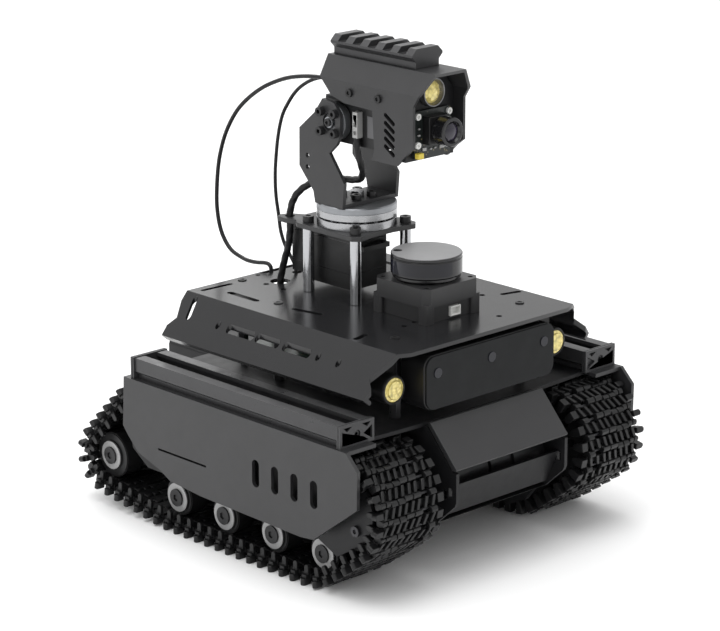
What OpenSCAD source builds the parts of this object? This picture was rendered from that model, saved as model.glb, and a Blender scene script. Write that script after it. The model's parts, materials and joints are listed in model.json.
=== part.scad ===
// Tracked robot chassis: sheet-metal hull on two link tracks, top deck, spinning
// range finder, depth camera, head lamps and a mast with a pan and tilt camera head.
// Millimetres. X is the width, -Y is the front, Z is up and the ground is z = 0.

/* [Hull] */
// Half width of the tub between the tracks
tub_half_w = 39.7; // [38:0.1:40.5]
// Height of the top face of the fender plate
fender_z = 77.7; // [77:0.1:79]
// Thickness of the folded sheet metal
sheet = 2; // [1.5:0.1:2]
// Distance from the middle to the outer face of a side panel
panel_x = 98.5; // [98:0.1:100]

/* [Deck] */
// Height of the top face of the deck
deck_z = 118; // [117.5:0.5:119]
// Half width of the flat top before the side bends
deck_bend_x = 62; // [61:0.5:63]
// Distance from the middle to the lower edge of the side slope
deck_lip_x = 80; // [79:0.5:80]
// Height of the lower edge of the side slope
deck_lip_z = 97.8; // [97:0.1:98.5]
// Front edge of the deck
deck_front_y = -96.9; // [-97.5:0.1:-96.5]
// Rear edge of the deck
deck_rear_y = 61; // [60.5:0.1:62]

/* [Side rails] */
// Width of a rail
rail_w = 20.6; // [20:0.1:21]
// Height of a rail
rail_h = 11; // [10:0.5:12]
// Middle of a rail, from the middle of the robot
rail_x = 86.2; // [86:0.1:86.4]

/* [Tracks] */
// Wanted distance between two link pins
link_pitch = 8.1; // [8:0.05:8.4]
// Depth of the tread from the pin line to the grouser tip
tread_out = 3.7; // [3.6:0.1:3.8]
// Depth of the link from the pin line to its inner face
tread_in = 1.5; // [1.3:0.1:1.5]
// Sprocket centre, along the robot
sprocket_y = -86; // [-87:0.5:-85]
// Sprocket centre, above the ground
sprocket_z = 45; // [44.5:0.5:45.5]
// First road wheel, along the robot
road_y = -67.6; // [-68:0.1:-67]
// Distance between two road wheels
road_pitch = 36.7; // [36:0.1:37]
// Idler centre, along the robot
idler_y = 96.4; // [96:0.1:97]

/* [Pan and tilt head] */
// Distance from the middle to the outer face of a bracket arm
arm_x = 19.5; // [19.5:0.1:20]
// Height of the tilt pivot
pivot_z = 209.7; // [209.5:0.1:210]
// Half width of the head shell
head_half_w = 18.2; // [18:0.1:18.2]

/* [Hidden] */
$fn = 48;

// Colours
charcoal = "#2b2b2d";
black = "#161617";
steel = "#b9bcc0";
ring_grey = "#a9abad";

// Belt loop, counter-clockwise from +X: centre Y, centre Z and grouser-tip radius of each wheel
road_tip_r = 16;
loop = [
    [sprocket_y, sprocket_z, 28.8],
    [road_y, road_tip_r, road_tip_r],
    [road_y + 3 * road_pitch, road_tip_r, road_tip_r],
    [idler_y, 25.4, 18.2],
    [67.2, 59.8, 14]
];
wheels = len(loop);
pin_r = [for (w = loop) w[2] - tread_out];
function next(i) = (i + 1) % wheels;
function prev(i) = (i + wheels - 1) % wheels;
function step_y(i) = loop[next(i)][0] - loop[i][0];
function step_z(i) = loop[next(i)][1] - loop[i][1];
function step(i) = norm([step_y(i), step_z(i)]);
// Direction of the outward normal of the straight run after wheel i
function leave(i) = atan2(step_z(i), step_y(i)) - acos((pin_r[i] - pin_r[next(i)]) / step(i));
function run(i) = sqrt(step(i) ^ 2 - (pin_r[i] - pin_r[next(i)]) ^ 2);
function arc(i) = pin_r[i] * ((leave(i) - leave(prev(i)) + 720) % 360) * PI / 180;
// Distance along the pin line at which the arc on wheel i starts
function begin(i) = i == 0 ? 0 : begin(i - 1) + arc(i - 1) + run(i - 1);
belt_length = begin(wheels - 1) + arc(wheels - 1) + run(wheels - 1);
link_count = round(belt_length / link_pitch);
// Point of the pin line at distance s along it, as [Y, Z]
function on_wheel(i, a) = [loop[i][0] + pin_r[i] * cos(a), loop[i][1] + pin_r[i] * sin(a)];
function wheel_at(s) = max([for (i = [0:wheels - 1]) if (s >= begin(i)) i]);
function pin_at(s) =
    let (i = wheel_at(s), t = s - begin(i))
    t < arc(i)
        ? on_wheel(i, leave(prev(i)) + t / pin_r[i] * 180 / PI)
        : on_wheel(i, leave(i)) + (t - arc(i)) * [-sin(leave(i)), cos(leave(i))];
function pin(k) = pin_at(belt_length * (k % link_count) / link_count);

// Inner and outer edge of the tread, and the blocks that hold the pins at each end of a link
tread_x = [54.5, 91];
front_blocks = [[54.5, 58.5], [75.6, 84.4]];
rear_blocks = [[64.6, 75.3], [84.7, 91]];
block_half = 1.6;
web_gap = 2.4;
pin_hole_r = 0.8;

// Wheel radii, clear of the flat inner faces of the links
wheel_gap = 0.27;
function inner_r(i) = sqrt(pin_r[i] ^ 2 - (link_pitch / 2) ^ 2) - tread_in - wheel_gap;
wheel_in_x = 55;
wheel_out_x = 86.2;
axle_r = 2.5;
running = 0.05;

// Places of the wheels on stub axles: Y and Z
road_at = [for (k = [0:3]) [road_y + k * road_pitch, road_tip_r]];
idler_at = [loop[3][0], loop[3][1]];
roller_at = [loop[4][0], loop[4][1]];
axles_at = concat(road_at, [idler_at, roller_at]);
frame_bolts_at = [[-45, 45], [5, 45], [50, 45]];
carrier_screw_r = 12.7;

// Hull levels
plate_z = fender_z - sheet;
tub_floor_z = 26.4;
rear_y = 104;

// Lip turned under along each long edge of the deck
deck_flange = 4.6;

// Mast
mast_y = -0.65;
post_half = 17.5;
mast_plate_z = 152;
mast_plate_t = 2.5;
bearing_r = 20.6;
bearing_in_r = 13;
ball_r = 1.3;
ball_ring_r = 17;
ball_z = 158.9;
turntable_z = 163;
bracket_z = 166.4;
pivot_y = -1.3;
arm_in_x = arm_x - sheet;
head_t = 1.6;

// Range finder
lidar_y = -51.2;
lidar_w = 38.6;
lidar_top_z = 136;

// Switch on the rear panel
switch_at = [22, 103, 60];

// Ends of the side rails
rail_front_y = -89.2;
rail_rear_y = 62.4;

// Front face and middle height of the depth camera
cam_y = -96.8;
cam_z = 99.2;

// Standoffs between the fender plate and the deck, each on both sides
deck_posts_at = [[44, -73.8], [44.1, 10.9], [28.9, 55.9]];

// Head and lead routes, from the deck end to the head end
usb_route = [
    [-6, 49, 88.5], [-6, 53, 88.8], [-6, 57, 91.6], [-6, 58.6, 97], [-6, 58.6, 107], [-6, 58.7, 117.6],
    [-6, 60, 120.8], [-6, 63.5, 121.4], [-6, 70, 120.4], [-6, 77, 120], [-5, 84, 120.4], [-5, 91, 122.4],
    [-5, 96, 126.2], [-5, 100, 132], [-5, 102.4, 140], [-5, 103.2, 150], [-4, 102.9, 165], [-4, 100.2, 176],
    [-4, 95.5, 187], [-4, 88, 198], [-4, 79, 206.5], [-4, 67, 214.5], [-3, 56, 219.8], [-3, 45, 223.4],
    [-3, 33, 225.7], [-3, 21, 226.8], [-3, 9, 227.2], [-3, 4, 227.2], [-3, 0, 227.2]
];
usb_split = 23;
camera_route = [
    [2, 47.5, 92], [2, 47.5, 98], [2, 47.5, 107], [2, 47.6, 116], [2, 49.4, 122], [2, 53, 126.6],
    [2, 57, 131.6], [2, 60, 138.4], [3, 62.5, 146], [3, 64.4, 156], [3, 64.9, 166], [3, 64.2, 176],
    [3, 62.2, 189], [3, 58.7, 200.4], [4, 54.4, 208.4], [4, 49.5, 214], [4, 43.6, 218.6], [4, 36, 222.5],
    [4, 26, 225.4], [4, 14, 226.8], [4, 5, 227], [4, 0, 227]
];
camera_split = 16;
servo_route = [
    [-16, 41, 92], [-16, 41, 98], [-16, 40.8, 108], [-16, 40.4, 118], [-15.8, 38, 128], [-15.5, 34.4, 139],
    [-15.5, 33, 149], [-15.5, 33, 156], [-15, 31, 163], [-14, 27, 168.5], [-12, 21, 173], [-8, 14, 176],
    [-5, 6, 177], [-5, -3, 178], [-7, -11, 180.5], [-10, -15.6, 185.5], [-13, -16.8, 191.5], [-14.6, -16.6, 198],
    [-14.6, -16.6, 203.4]
];
servo_split = 10;
cable_r = 0.8;
servo_lead_r = 1.9;

// Solids from flat outlines: (Y, Z) along X, (X, Z) along Y and (X, Y) along Z
module along_x(x0, x1) {
    translate([x0, 0, 0]) rotate([90, 0, 90]) linear_extrude(x1 - x0) children();
}
module along_y(y0, y1) {
    translate([0, y1, 0]) rotate([90, 0, 0]) linear_extrude(y1 - y0) children();
}
module along_z(z0, z1) {
    translate([0, 0, z0]) linear_extrude(z1 - z0) children();
}
module both_sides() {
    children();
    mirror([1, 0, 0]) children();
}
module block(x0, x1, y0, y1, z0, z1) {
    translate([x0, y0, z0]) cube([x1 - x0, y1 - y0, z1 - z0]);
}
module rod_x(x0, x1, y, z, r) {
    translate([x0, y, z]) rotate([0, 90, 0]) cylinder(r = r, h = x1 - x0);
}
module rod_y(y0, y1, x, z, r) {
    translate([x, y1, z]) rotate([90, 0, 0]) cylinder(r = r, h = y1 - y0);
}
module rod_z(z0, z1, x, y, r) {
    translate([x, y, z0]) cylinder(r = r, h = z1 - z0);
}
module rounded(w, h, r) {
    square([w - 2 * r, h], center = true);
    square([w, h - 2 * r], center = true);
    for (sx = [-1, 1], sy = [-1, 1]) {
        translate([sx * (w / 2 - r), sy * (h / 2 - r)]) circle(r);
    }
}
// Slot with round ends; its straight part is a little narrower, so that its sides cross the ends
module slot(a, b, r) {
    half = 0.985 * r;
    translate(a) circle(r);
    translate(b) circle(r);
    translate(a) rotate(atan2(b[1] - a[1], b[0] - a[0])) translate([0, -half]) square([norm(b - a), 2 * half]);
}
// Cap screw standing on z = 0, with its shank below
module cap_screw(head_r, head_h, shank_r, shank_h, key_r) {
    difference() {
        union() {
            cylinder(r = head_r, h = head_h);
            translate([0, 0, -shank_h]) cylinder(r = shank_r, h = shank_h + head_h / 2);
        }
        translate([0, 0, head_h * 0.45]) cylinder(r = key_r, h = head_h, $fn = 6);
    }
}

// Tube swept along a route, with a ring at each point
function unit(v) = v / norm(v);
function heading(p, i) = unit(p[min(i + 1, len(p) - 1)] - p[max(i - 1, 0)]);
function ring(c, t, r, sides) =
    let (a = unit([1, 0, 0] - t[0] * t), b = cross(t, a))
    [for (k = [0:sides - 1]) c + r * (cos(360 * k / sides) * a + sin(360 * k / sides) * b)];
module tube(p, first, last, r, sides = 8) {
    rings = last - first + 1;
    points = [for (i = [first:last]) each ring(p[i], heading(p, i), r, sides)];
    walls = [for (i = [0:rings - 2], k = [0:sides - 1])
        [i * sides + k, i * sides + (k + 1) % sides, (i + 1) * sides + (k + 1) % sides, (i + 1) * sides + k]];
    polyhedron(
        points = points,
        faces = concat(walls, [[for (k = [sides - 1:-1:0]) k]], [[for (k = [0:sides - 1]) (rings - 1) * sides + k]])
    );
}

// ---------------------------------------------------------------- hull
module tub_outline() {
    polygon([
        [-92.2, plate_z], [-109.2, 56.9], [-112, 56.4], [-112, 41.8], [-111, 39.4],
        [-98.6, 28], [-94, tub_floor_z], [rear_y - 4, tub_floor_z], [rear_y, 32], [rear_y, plate_z]
    ]);
}
module hull_tub() {
    inner = tub_half_w - sheet;
    color(charcoal) difference() {
        intersection() {
            along_x(-tub_half_w, tub_half_w) tub_outline();
            difference() {
                block(-tub_half_w, tub_half_w, -120, 120, tub_floor_z, plate_z);
                block(-inner, inner, -130, 130, tub_floor_z + sheet, plate_z + 10);
            }
        }
        rod_x(-50, 50, sprocket_y, sprocket_z, 4.5);
        both_sides() for (p = frame_bolts_at) rod_x(30, 50, p[0], p[1], 1.6);
        both_sides() block(30, 50, -105.4, -102.6, 41.6, 46.4);
        both_sides() block(30, 50, -109.2, -106.8, 43.4, 48.4);
        for (y = [-60, -30, 0, 30, 60]) rod_z(20, 40, 0, y, 4);
    }
}
module nose_plate() {
    color(charcoal) along_x(-tub_half_w - 0.1, tub_half_w + 0.1) polygon([
        [-94, fender_z + 0.9], [-112.2, 58.6], [-111.6, 57.6], [-109.3, 57.6], [-92.6, 76.6], [-92.6, fender_z + 0.9]
    ]);
}
module hull_end_plates() {
    inner = tub_half_w - sheet - 0.2;
    color(charcoal) along_x(-inner, inner) polygon([[-108, 49], [-99.8, 31], [-97.8, 31], [-106, 49]]);
    color(charcoal) difference() {
        block(-inner, inner, rear_y - sheet, rear_y, 32, plate_z - 0.5);
        translate(switch_at) block(-7.05, 7.05, -5, 5, -10.05, 10.05);
        rod_y(95, 110, -22, 60, 5.05);
        for (x = [-12:6:12]) translate([x, rear_y, 42]) rotate([90, 0, 0]) linear_extrude(6, center = true) slot([0, -4], [0, 4], 1.2);
    }
    color(black) translate(switch_at) difference() {
        union() {
            block(-7, 7, -4, 2, -10, 10);
            block(-8.5, 8.5, 1, 2.2, -11.5, 11.5);
        }
        block(-5.3, 5.3, -2.5, 5, -8.2, 8.2);
        rod_x(-6.4, 6.4, 0, 0, 0.85);
    }
    color(black) difference() {
        union() {
            rod_y(94, rear_y, -22, 60, 5);
            rod_y(rear_y, rear_y + 1.4, -22, 60, 7);
        }
        rod_y(96, 110, -22, 60, 3.1);
    }
}
module fender_plate() {
    rear_half = tub_half_w - 0.2;
    color(charcoal) difference() {
        along_z(plate_z, fender_z) polygon([
            [-77.9, -88], [-45, -90], [45, -90], [77.9, -88], [77.9, 69.4],
            [rear_half, 69.4], [rear_half, rear_y - 0.2], [-rear_half, rear_y - 0.2], [-rear_half, 69.4], [-77.9, 69.4]
        ]);
        for (p = deck_posts_at) both_sides() rod_z(60, 90, p[0], p[1], 1.6);
        rod_z(60, 90, 0, 30, 8);
        rod_z(60, 90, 0, -40, 8);
    }
}
module panel_outline() {
    polygon([
        [69.5, fender_z], [-96.5, fender_z], [-104.4, 69.9], [-104, 50.8], [-73.4, 27.8], [-64, 26.8], [10.5, 28.1],
        [34, 30], [41.8, 33.9], [59.3, 39.2], [67.1, 46.5], [71, 51]
    ]);
}
module side_panels() {
    color(charcoal) both_sides() difference() {
        union() {
            along_x(panel_x - sheet, panel_x) panel_outline();
            block(78, panel_x, -96, 69.5, plate_z, fender_z);
        }
        along_x(80, 110) slot([5.9, 45], [42.5, 45], 0.55);
        for (y = [-74, -60, -46, -32]) along_x(80, 110) slot([y, 46.5], [y, 55.5], 2.6);
        for (y = [-70, -10, 50]) rod_z(60, 90, rail_x, y, 1.6);
    }
}
module track_frame_plates() {
    arc_points = [for (a = [95:15:230]) [sprocket_y + 20 * cos(a), sprocket_z + 20 * sin(a)]];
    outer = concat(arc_points, [[-81, 19], [-74.8, 21.7], [-60, 28], [62, 28], [74, 36], [76, 46], [54, 60]]);
    inner = [
        [-98, 36], [-98, 52], [-90, 61], [-78, 64], [58, 69], [74, 68], [84, 58], [104, 32], [105, 22], [98, 16],
        [50, 9], [-70, 9], [-80, 14]
    ];
    color(charcoal) both_sides() difference() {
        along_x(88, 90) polygon(outer);
        rod_x(80, 100, sprocket_y, sprocket_z, 3.2);
        for (p = frame_bolts_at) rod_x(80, 100, p[0], p[1], 1.6);
        for (a = [45:90:315]) {
            rod_x(80, 100, sprocket_y + carrier_screw_r * cos(a), sprocket_z + carrier_screw_r * sin(a), 1.6);
        }
    }
    color(charcoal) both_sides() difference() {
        along_x(43, 46) polygon(inner);
        rod_x(40, 50, sprocket_y, sprocket_z, 6);
        for (p = axles_at) rod_x(40, 50, p[0], p[1], axle_r + running);
        for (p = frame_bolts_at) rod_x(40, 50, p[0], p[1], 1.6);
        for (y = [-25, 25]) along_x(40, 50) slot([y - 5, 34], [y + 5, 34], 5);
    }
}
module drive_bearings() {
    color("#3a3a3c") both_sides() difference() {
        union() {
            rod_x(85, 88, sprocket_y, sprocket_z, 16.5);
            rod_x(84.4, 86, sprocket_y, sprocket_z, 6);
        }
        rod_x(80, 95, sprocket_y, sprocket_z, 3 + running);
        for (a = [45:90:315]) {
            rod_x(80, 100, sprocket_y + carrier_screw_r * cos(a), sprocket_z + carrier_screw_r * sin(a), 1.55);
        }
    }
}

// ---------------------------------------------------------------- tracks
module wheel_axle(p) {
    difference() {
        union() {
            rod_x(39.9, 87.4, p[0], p[1], axle_r);
            rod_x(46, wheel_in_x - 0.3, p[0], p[1], 3.6);
            rod_x(87, 88, p[0], p[1], 4.6);
            translate([39.9, p[0], p[1]]) rotate([0, 90, 0]) cylinder(r = 4.6, h = 3.1, $fn = 6);
        }
        translate([87.3, p[0], p[1]]) rotate([0, 90, 0]) cylinder(r = 2, h = 2, $fn = 6);
    }
}
module wheel_axles() {
    color("#303032") both_sides() for (p = axles_at) wheel_axle(p);
}
module axle_washers() {
    color(ring_grey) both_sides() for (p = axles_at) difference() {
        rod_x(86.5, 87, p[0], p[1], p == roller_at ? 6 : 7.6);
        rod_x(80, 90, p[0], p[1], axle_r + running);
    }
}
// Block around a link pin at y, with its outer edge cut off on the side s that turns towards the ground
module knuckle(b, y, s) {
    along_x(b[0], b[1]) polygon([
        [y - s * block_half, tread_in], [y - s * block_half, -tread_out], [y + s * 0.3, -tread_out],
        [y + s * block_half, -tread_out + 1], [y + s * block_half, tread_in]
    ]);
}
module link(length) {
    h = length / 2;
    web = h - web_gap;
    difference() {
        union() {
            block(tread_x[0], tread_x[1], -web, web, -1.2, tread_in);
            for (b = front_blocks) {
                knuckle(b, -h, -1);
                block(b[0], b[1], -h, 0, -1.2, tread_in);
            }
            for (b = rear_blocks) {
                knuckle(b, h, 1);
                block(b[0], b[1], 0, h, -1.2, tread_in);
            }
            block(tread_x[1] - 0.5, 94.1, -1.6, 1.6, -tread_out, tread_in);
            rod_z(-tread_out, -0.2, 94.1, 0, 1.6);
            block(90.6, 92.6, -1.4, 1.4, 0, 4.9);
            rod_x(90.6, 92.6, 0, 4.9, 1.4);
            along_x(49.6, 53.6) polygon([[-2.2, -2.9], [2.2, -2.9], [2, tread_in], [1, 4], [-1, 4], [-2, tread_in]]);
            block(53, 55, -1.4, 1.4, -1.2, tread_in);
        }
        rod_x(50, 95, -h, 0, pin_hole_r);
        rod_x(50, 95, h, 0, pin_hole_r);
    }
}
module track_links() {
    color(black) both_sides() for (k = [0:link_count - 1]) {
        a = pin(k);
        b = pin(k + 1);
        translate([0, (a[0] + b[0]) / 2, (a[1] + b[1]) / 2])
            rotate([atan2(b[1] - a[1], b[0] - a[0]), 0, 0])
                link(norm(b - a));
    }
}
module track_pins() {
    color(steel) both_sides() for (k = [0:link_count - 1]) {
        rod_x(tread_x[0] + 0.1, tread_x[1] - 0.1, pin(k)[0], pin(k)[1], pin_hole_r - running, $fn = 24);
    }
}
module sprocket() {
    r = inner_r(0);
    teeth = 19;
    outline = [for (k = [0:teeth - 1], q = [[-0.3, 0.86], [-0.14, 1], [0.14, 1], [0.3, 0.86]])
        r * q[1] * [cos(360 * (k + q[0]) / teeth), sin(360 * (k + q[0]) / teeth)]];
    translate([0, sprocket_y, sprocket_z]) {
        color("#232325") difference() {
            union() {
                along_x(60, 63.6) polygon(outline);
                along_x(79.6, 83.2) polygon(outline);
                rod_x(60, 83.2, 0, 0, 14);
                rod_x(56, 60, 0, 0, 8);
            }
            rod_x(50, 90, 0, 0, 3 + running);
            for (a = [0:60:300]) rod_x(50, 90, 10 * cos(a), 10 * sin(a), 2.4);
        }
        color(steel) rod_x(34, 88, 0, 0, 3);
    }
}
module wheel(p, r) {
    color("#1d1d1f") translate([0, p[0], p[1]]) difference() {
        union() {
            rod_x(wheel_in_x, 66, 0, 0, r);
            rod_x(64, 77, 0, 0, r - 2);
            rod_x(75, wheel_out_x - 1, 0, 0, r);
            rod_x(84, wheel_out_x - 0.5, 0, 0, r - 0.5);
            rod_x(84, wheel_out_x, 0, 0, min(r - 1.2, 8));
        }
        rod_x(50, 90, 0, 0, axle_r + running);
    }
}
module sprocket_left() {
    mirror([1, 0, 0]) sprocket();
}
module sprocket_right() {
    sprocket();
}
module road_wheel(n) {
    wheel(road_at[n - 1], inner_r(1));
}
module road_wheel_left_1() {
    mirror([1, 0, 0]) road_wheel(1);
}
module road_wheel_left_2() {
    mirror([1, 0, 0]) road_wheel(2);
}
module road_wheel_left_3() {
    mirror([1, 0, 0]) road_wheel(3);
}
module road_wheel_left_4() {
    mirror([1, 0, 0]) road_wheel(4);
}
module road_wheel_right_1() {
    road_wheel(1);
}
module road_wheel_right_2() {
    road_wheel(2);
}
module road_wheel_right_3() {
    road_wheel(3);
}
module road_wheel_right_4() {
    road_wheel(4);
}
module idler_left() {
    mirror([1, 0, 0]) wheel(idler_at, inner_r(3));
}
module idler_right() {
    wheel(idler_at, inner_r(3));
}
module return_roller_left() {
    mirror([1, 0, 0]) wheel(roller_at, inner_r(4));
}
module return_roller_right() {
    wheel(roller_at, inner_r(4));
}

// ---------------------------------------------------------------- rails and deck
module side_rails() {
    w = rail_w / 2;
    t = 3.9;
    color("#333335") both_sides() difference() {
        along_y(rail_front_y, rail_rear_y) translate([rail_x, fender_z]) polygon([
            [-w + 2, 0], [w - 2, 0], [w - 2, t - 1.4], [w, t], [w, rail_h], [4.2, rail_h], [4.2, rail_h - 2],
            [6.6, rail_h - 2], [6.6, t], [-6.6, t], [-6.6, rail_h - 2], [-4.2, rail_h - 2], [-4.2, rail_h],
            [-w, rail_h], [-w, t], [-w + 2, t - 1.4]
        ]);
        for (y = [-70, -10, 50]) rod_z(60, 90, rail_x, y, 1.6);
    }
}
module cap_outline() {
    difference() {
        square([rail_w + 1.8, rail_h + 0.4], center = true);
        for (s = [-1, 1]) {
            polygon([[s * 4, -0.6], [s * 9.8, -4.2], [s * 9.8, 2.6]]);
            polygon([[s * 3.2, 4.4], [s * 6.6, 2.2], [s * 8.8, 4.4]]);
            polygon([[s * 2.6, -4.4], [s * 7.4, -4.4], [s * 4.2, -2.2]]);
        }
    }
}
module rail_end_cap() {
    depth = 1.2;
    difference() {
        union() {
            block(-rail_w / 2 - 0.9, rail_w / 2 + 0.9, -0.8, 0, 0, rail_h + 0.4);
            translate([0, -depth - 0.8 + 0.4, rail_h / 2 + 0.2]) rotate([90, 0, 0]) translate([0, 0, -0.4])
                linear_extrude(depth) cap_outline();
        }
        rod_y(-5, 5, 0, rail_h / 2, 2.1);
    }
}
module rail_end_caps() {
    color("#333335") both_sides() {
        translate([rail_x, rail_front_y, fender_z]) rail_end_cap();
        translate([rail_x, rail_rear_y, fender_z]) rotate([0, 0, 180]) rail_end_cap();
    }
}
module deck_section() {
    run = deck_lip_x - deck_bend_x;
    drop = deck_z - deck_lip_z;
    slope = atan2(drop, run);
    inner_bend = deck_bend_x - sheet * tan(slope / 2);
    nx = sheet * sin(slope);
    nz = sheet * cos(slope);
    depth = deck_flange / sheet;
    flange = [
        [deck_lip_x, deck_lip_z], [deck_lip_x - nx * depth, deck_lip_z - nz * depth],
        [deck_lip_x - nx * depth - nz, deck_lip_z - nz * depth + nx],
        [deck_lip_x - nx - nz, deck_lip_z - nz + nx], [inner_bend, deck_z - sheet]
    ];
    polygon(concat(
        [[-deck_bend_x, deck_z], [deck_bend_x, deck_z]], flange,
        [for (i = [len(flange) - 1:-1:0]) [-flange[i][0], flange[i][1]]]
    ));
}
module deck_plan() {
    half = [
        [55.2, deck_front_y], [64, -93], [72.2, -85.2], [75.8, -90.3], [80.5, -88.8],
        [80.5, 60.6], [76, deck_rear_y], [72.4, 57.4], [66, deck_rear_y]
    ];
    polygon(concat(half, [for (i = [len(half) - 1:-1:0]) [-half[i][0], half[i][1]]]));
}
module deck_openings() {
    for (h = [[-16.6, 57.4, 1.3], [-25, 41.5, 1.6], [-25, 28, 1.6],
              [-26.6, -62.4, 1.5], [-18.3, -60.9, 1.3], [19.5, -82.9, 1.5],
              [40.5, -50.7, 1.6], [25, 41.5, 1.6], [25, 28, 1.6], [22, -62, 1.3]]) {
        translate([h[0], h[1]]) circle(h[2]);
    }
    translate([-16, 40.7]) circle(5.2);
    translate([2, 47.5]) circle(2.6);
    slot([-10, 58.6], [8.5, 58.6], 1.6);
    slot([-38.4, 54.5], [-56, 55.3], 1.4);
    slot([38.4, 54.5], [56, 55.3], 1.4);
    slot([-49, 42], [-49, 22], 1.8);
    slot([49, 42], [49, 22], 1.8);
    slot([-45.4, -3], [-42.4, -18.6], 1.6);
    slot([45.4, -3], [42.4, -18.6], 1.6);
    slot([-58.4, -61.8], [-51, -60], 1.6);
    slot([58.4, -59.2], [49.5, -57], 1.6);
    slot([30, -40], [30, -28], 1.5);
    for (p = deck_posts_at, s = [-1, 1]) translate([s * p[0], p[1]]) circle(1.6);
    for (x = [-1, 1], y = [-1, 1]) translate([x * post_half, mast_y + y * post_half]) circle(1.6);
}
module slope_openings() {
    // Seen from above, with the slots in the middle of the slope
    for (q = [[19.9, -0.6], [-1.9, -19.2], [-22.2, -41.9]]) {
        slot([70.6, q[0] - 1.6], [70.6, q[1] + 1.6], 1.7);
    }
    for (y = [26.9, -47.6, -61.9]) translate([70.6, y]) circle(1.5);
    slot([64.5, 52], [70.5, 50], 1.6);
}
module top_deck() {
    color(charcoal) difference() {
        intersection() {
            along_y(-110, 80) deck_section();
            along_z(80, 130) deck_plan();
        }
        along_z(110, 130) deck_openings();
        both_sides() along_z(90, 130) slope_openings();
    }
}
module standoffs() {
    color(steel) for (p = deck_posts_at) both_sides() difference() {
        translate([p[0], p[1], fender_z]) cylinder(r = 3, h = deck_z - sheet - fender_z, $fn = 6);
        rod_z(60, 130, p[0], p[1], 1.55);
    }
    color(steel) both_sides() for (p = frame_bolts_at) {
        difference() {
            rod_x(tub_half_w, 43, p[0], p[1], 3);
            rod_x(30, 100, p[0], p[1], 1.55);
        }
        difference() {
            rod_x(46, 88, p[0], p[1], 3);
            rod_x(30, 100, p[0], p[1], 1.55);
        }
    }
    color(steel) for (x = [-38, 38], y = [-30, 45]) difference() {
        translate([x, y, fender_z]) cylinder(r = 2.5, h = 6.3, $fn = 6);
        rod_z(60, 130, x, y, 1.3);
    }
}
module chassis_screws() {
    color(black) for (p = deck_posts_at) both_sides() {
        translate([p[0], p[1], deck_z]) cap_screw(2.3, 0.5, 1.5, 8, 1.3);
    }
    color(black) both_sides() for (p = frame_bolts_at) {
        translate([90, p[0], p[1]]) rotate([0, 90, 0]) cap_screw(2.7, 1.6, 1.5, 52.2, 1.2);
    }
    color("#4a4a4d") both_sides() for (a = [45:90:315]) {
        translate([90, sprocket_y + carrier_screw_r * cos(a), sprocket_z + carrier_screw_r * sin(a)])
            rotate([0, 90, 0]) cap_screw(2.7, 1.5, 1.5, 4, 1.3);
    }
    color(black) both_sides() for (y = [-70, -10, 50]) {
        translate([rail_x, y, fender_z + 3.9]) cap_screw(2.7, 2, 1.5, 6.4, 1.2);
    }
    color(steel) for (x = [-1, 1], y = [-1, 1]) {
        translate([x * post_half, mast_y + y * post_half, mast_plate_z + mast_plate_t])
            cap_screw(2.9, 3.4, 1.5, 8, 1.5);
    }
    color(black) both_sides() for (y = [rail_front_y - 0.7, rail_rear_y + 0.7]) {
        translate([rail_x, y, fender_z + rail_h / 2]) rotate([y < 0 ? 90 : -90, 0, 0])
            cap_screw(2, 1, 1.5, 0.6, 1);
    }
}

// ---------------------------------------------------------------- sensors on the deck
module depth_camera_body() {
    color(black) difference() {
        translate([0, 0, cam_z]) along_y(cam_y + 1.2, cam_y + 17.5) rounded(91, 28, 6);
        for (x = [-30, 30]) rod_y(cam_y + 12, cam_y + 20, x, cam_z, 1.6);
        block(-6, 6, cam_y + 15, cam_y + 20, cam_z - 4, cam_z - 1);
    }
    color(charcoal) difference() {
        union() {
            block(-36, 36, cam_y + 17.5, cam_y + 19, fender_z + 8, deck_z - sheet);
            block(-36, 36, cam_y + 17.5, cam_y + 22, deck_z - sheet - 1.5, deck_z - sheet);
        }
        for (x = [-30, 30]) rod_y(cam_y + 12, cam_y + 30, x, cam_z, 1.6);
        block(-7, 7, cam_y + 15, cam_y + 30, cam_z - 5, cam_z);
    }
}
module depth_camera_window() {
    color("#0c0c10") translate([0, 0, cam_z]) along_y(cam_y, cam_y + 1.2) rounded(90, 27, 5.5);
    color("#050506") for (x = [-37.5, 0, 37.5]) rod_y(cam_y - 0.5, cam_y, x, cam_z + 4.9, 2.6);
}
module headlamps() {
    y0 = -86.2;
    color(charcoal) both_sides() difference() {
        union() {
            rod_y(y0, y0 + 11, 57, 97.4, 7.5);
            block(50, 60, y0 + 6.5, y0 + 8, 97.4, deck_z - sheet);
        }
        rod_y(y0 - 1, y0 + 8, 57, 97.4, 6.2);
    }
    color("#e8cf86") both_sides() {
        rod_y(y0 - 0.6, y0 + 6, 57, 97.4, 6.1);
        rod_y(y0 - 1.6, y0, 57, 97.4, 4.6);
    }
}
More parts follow.
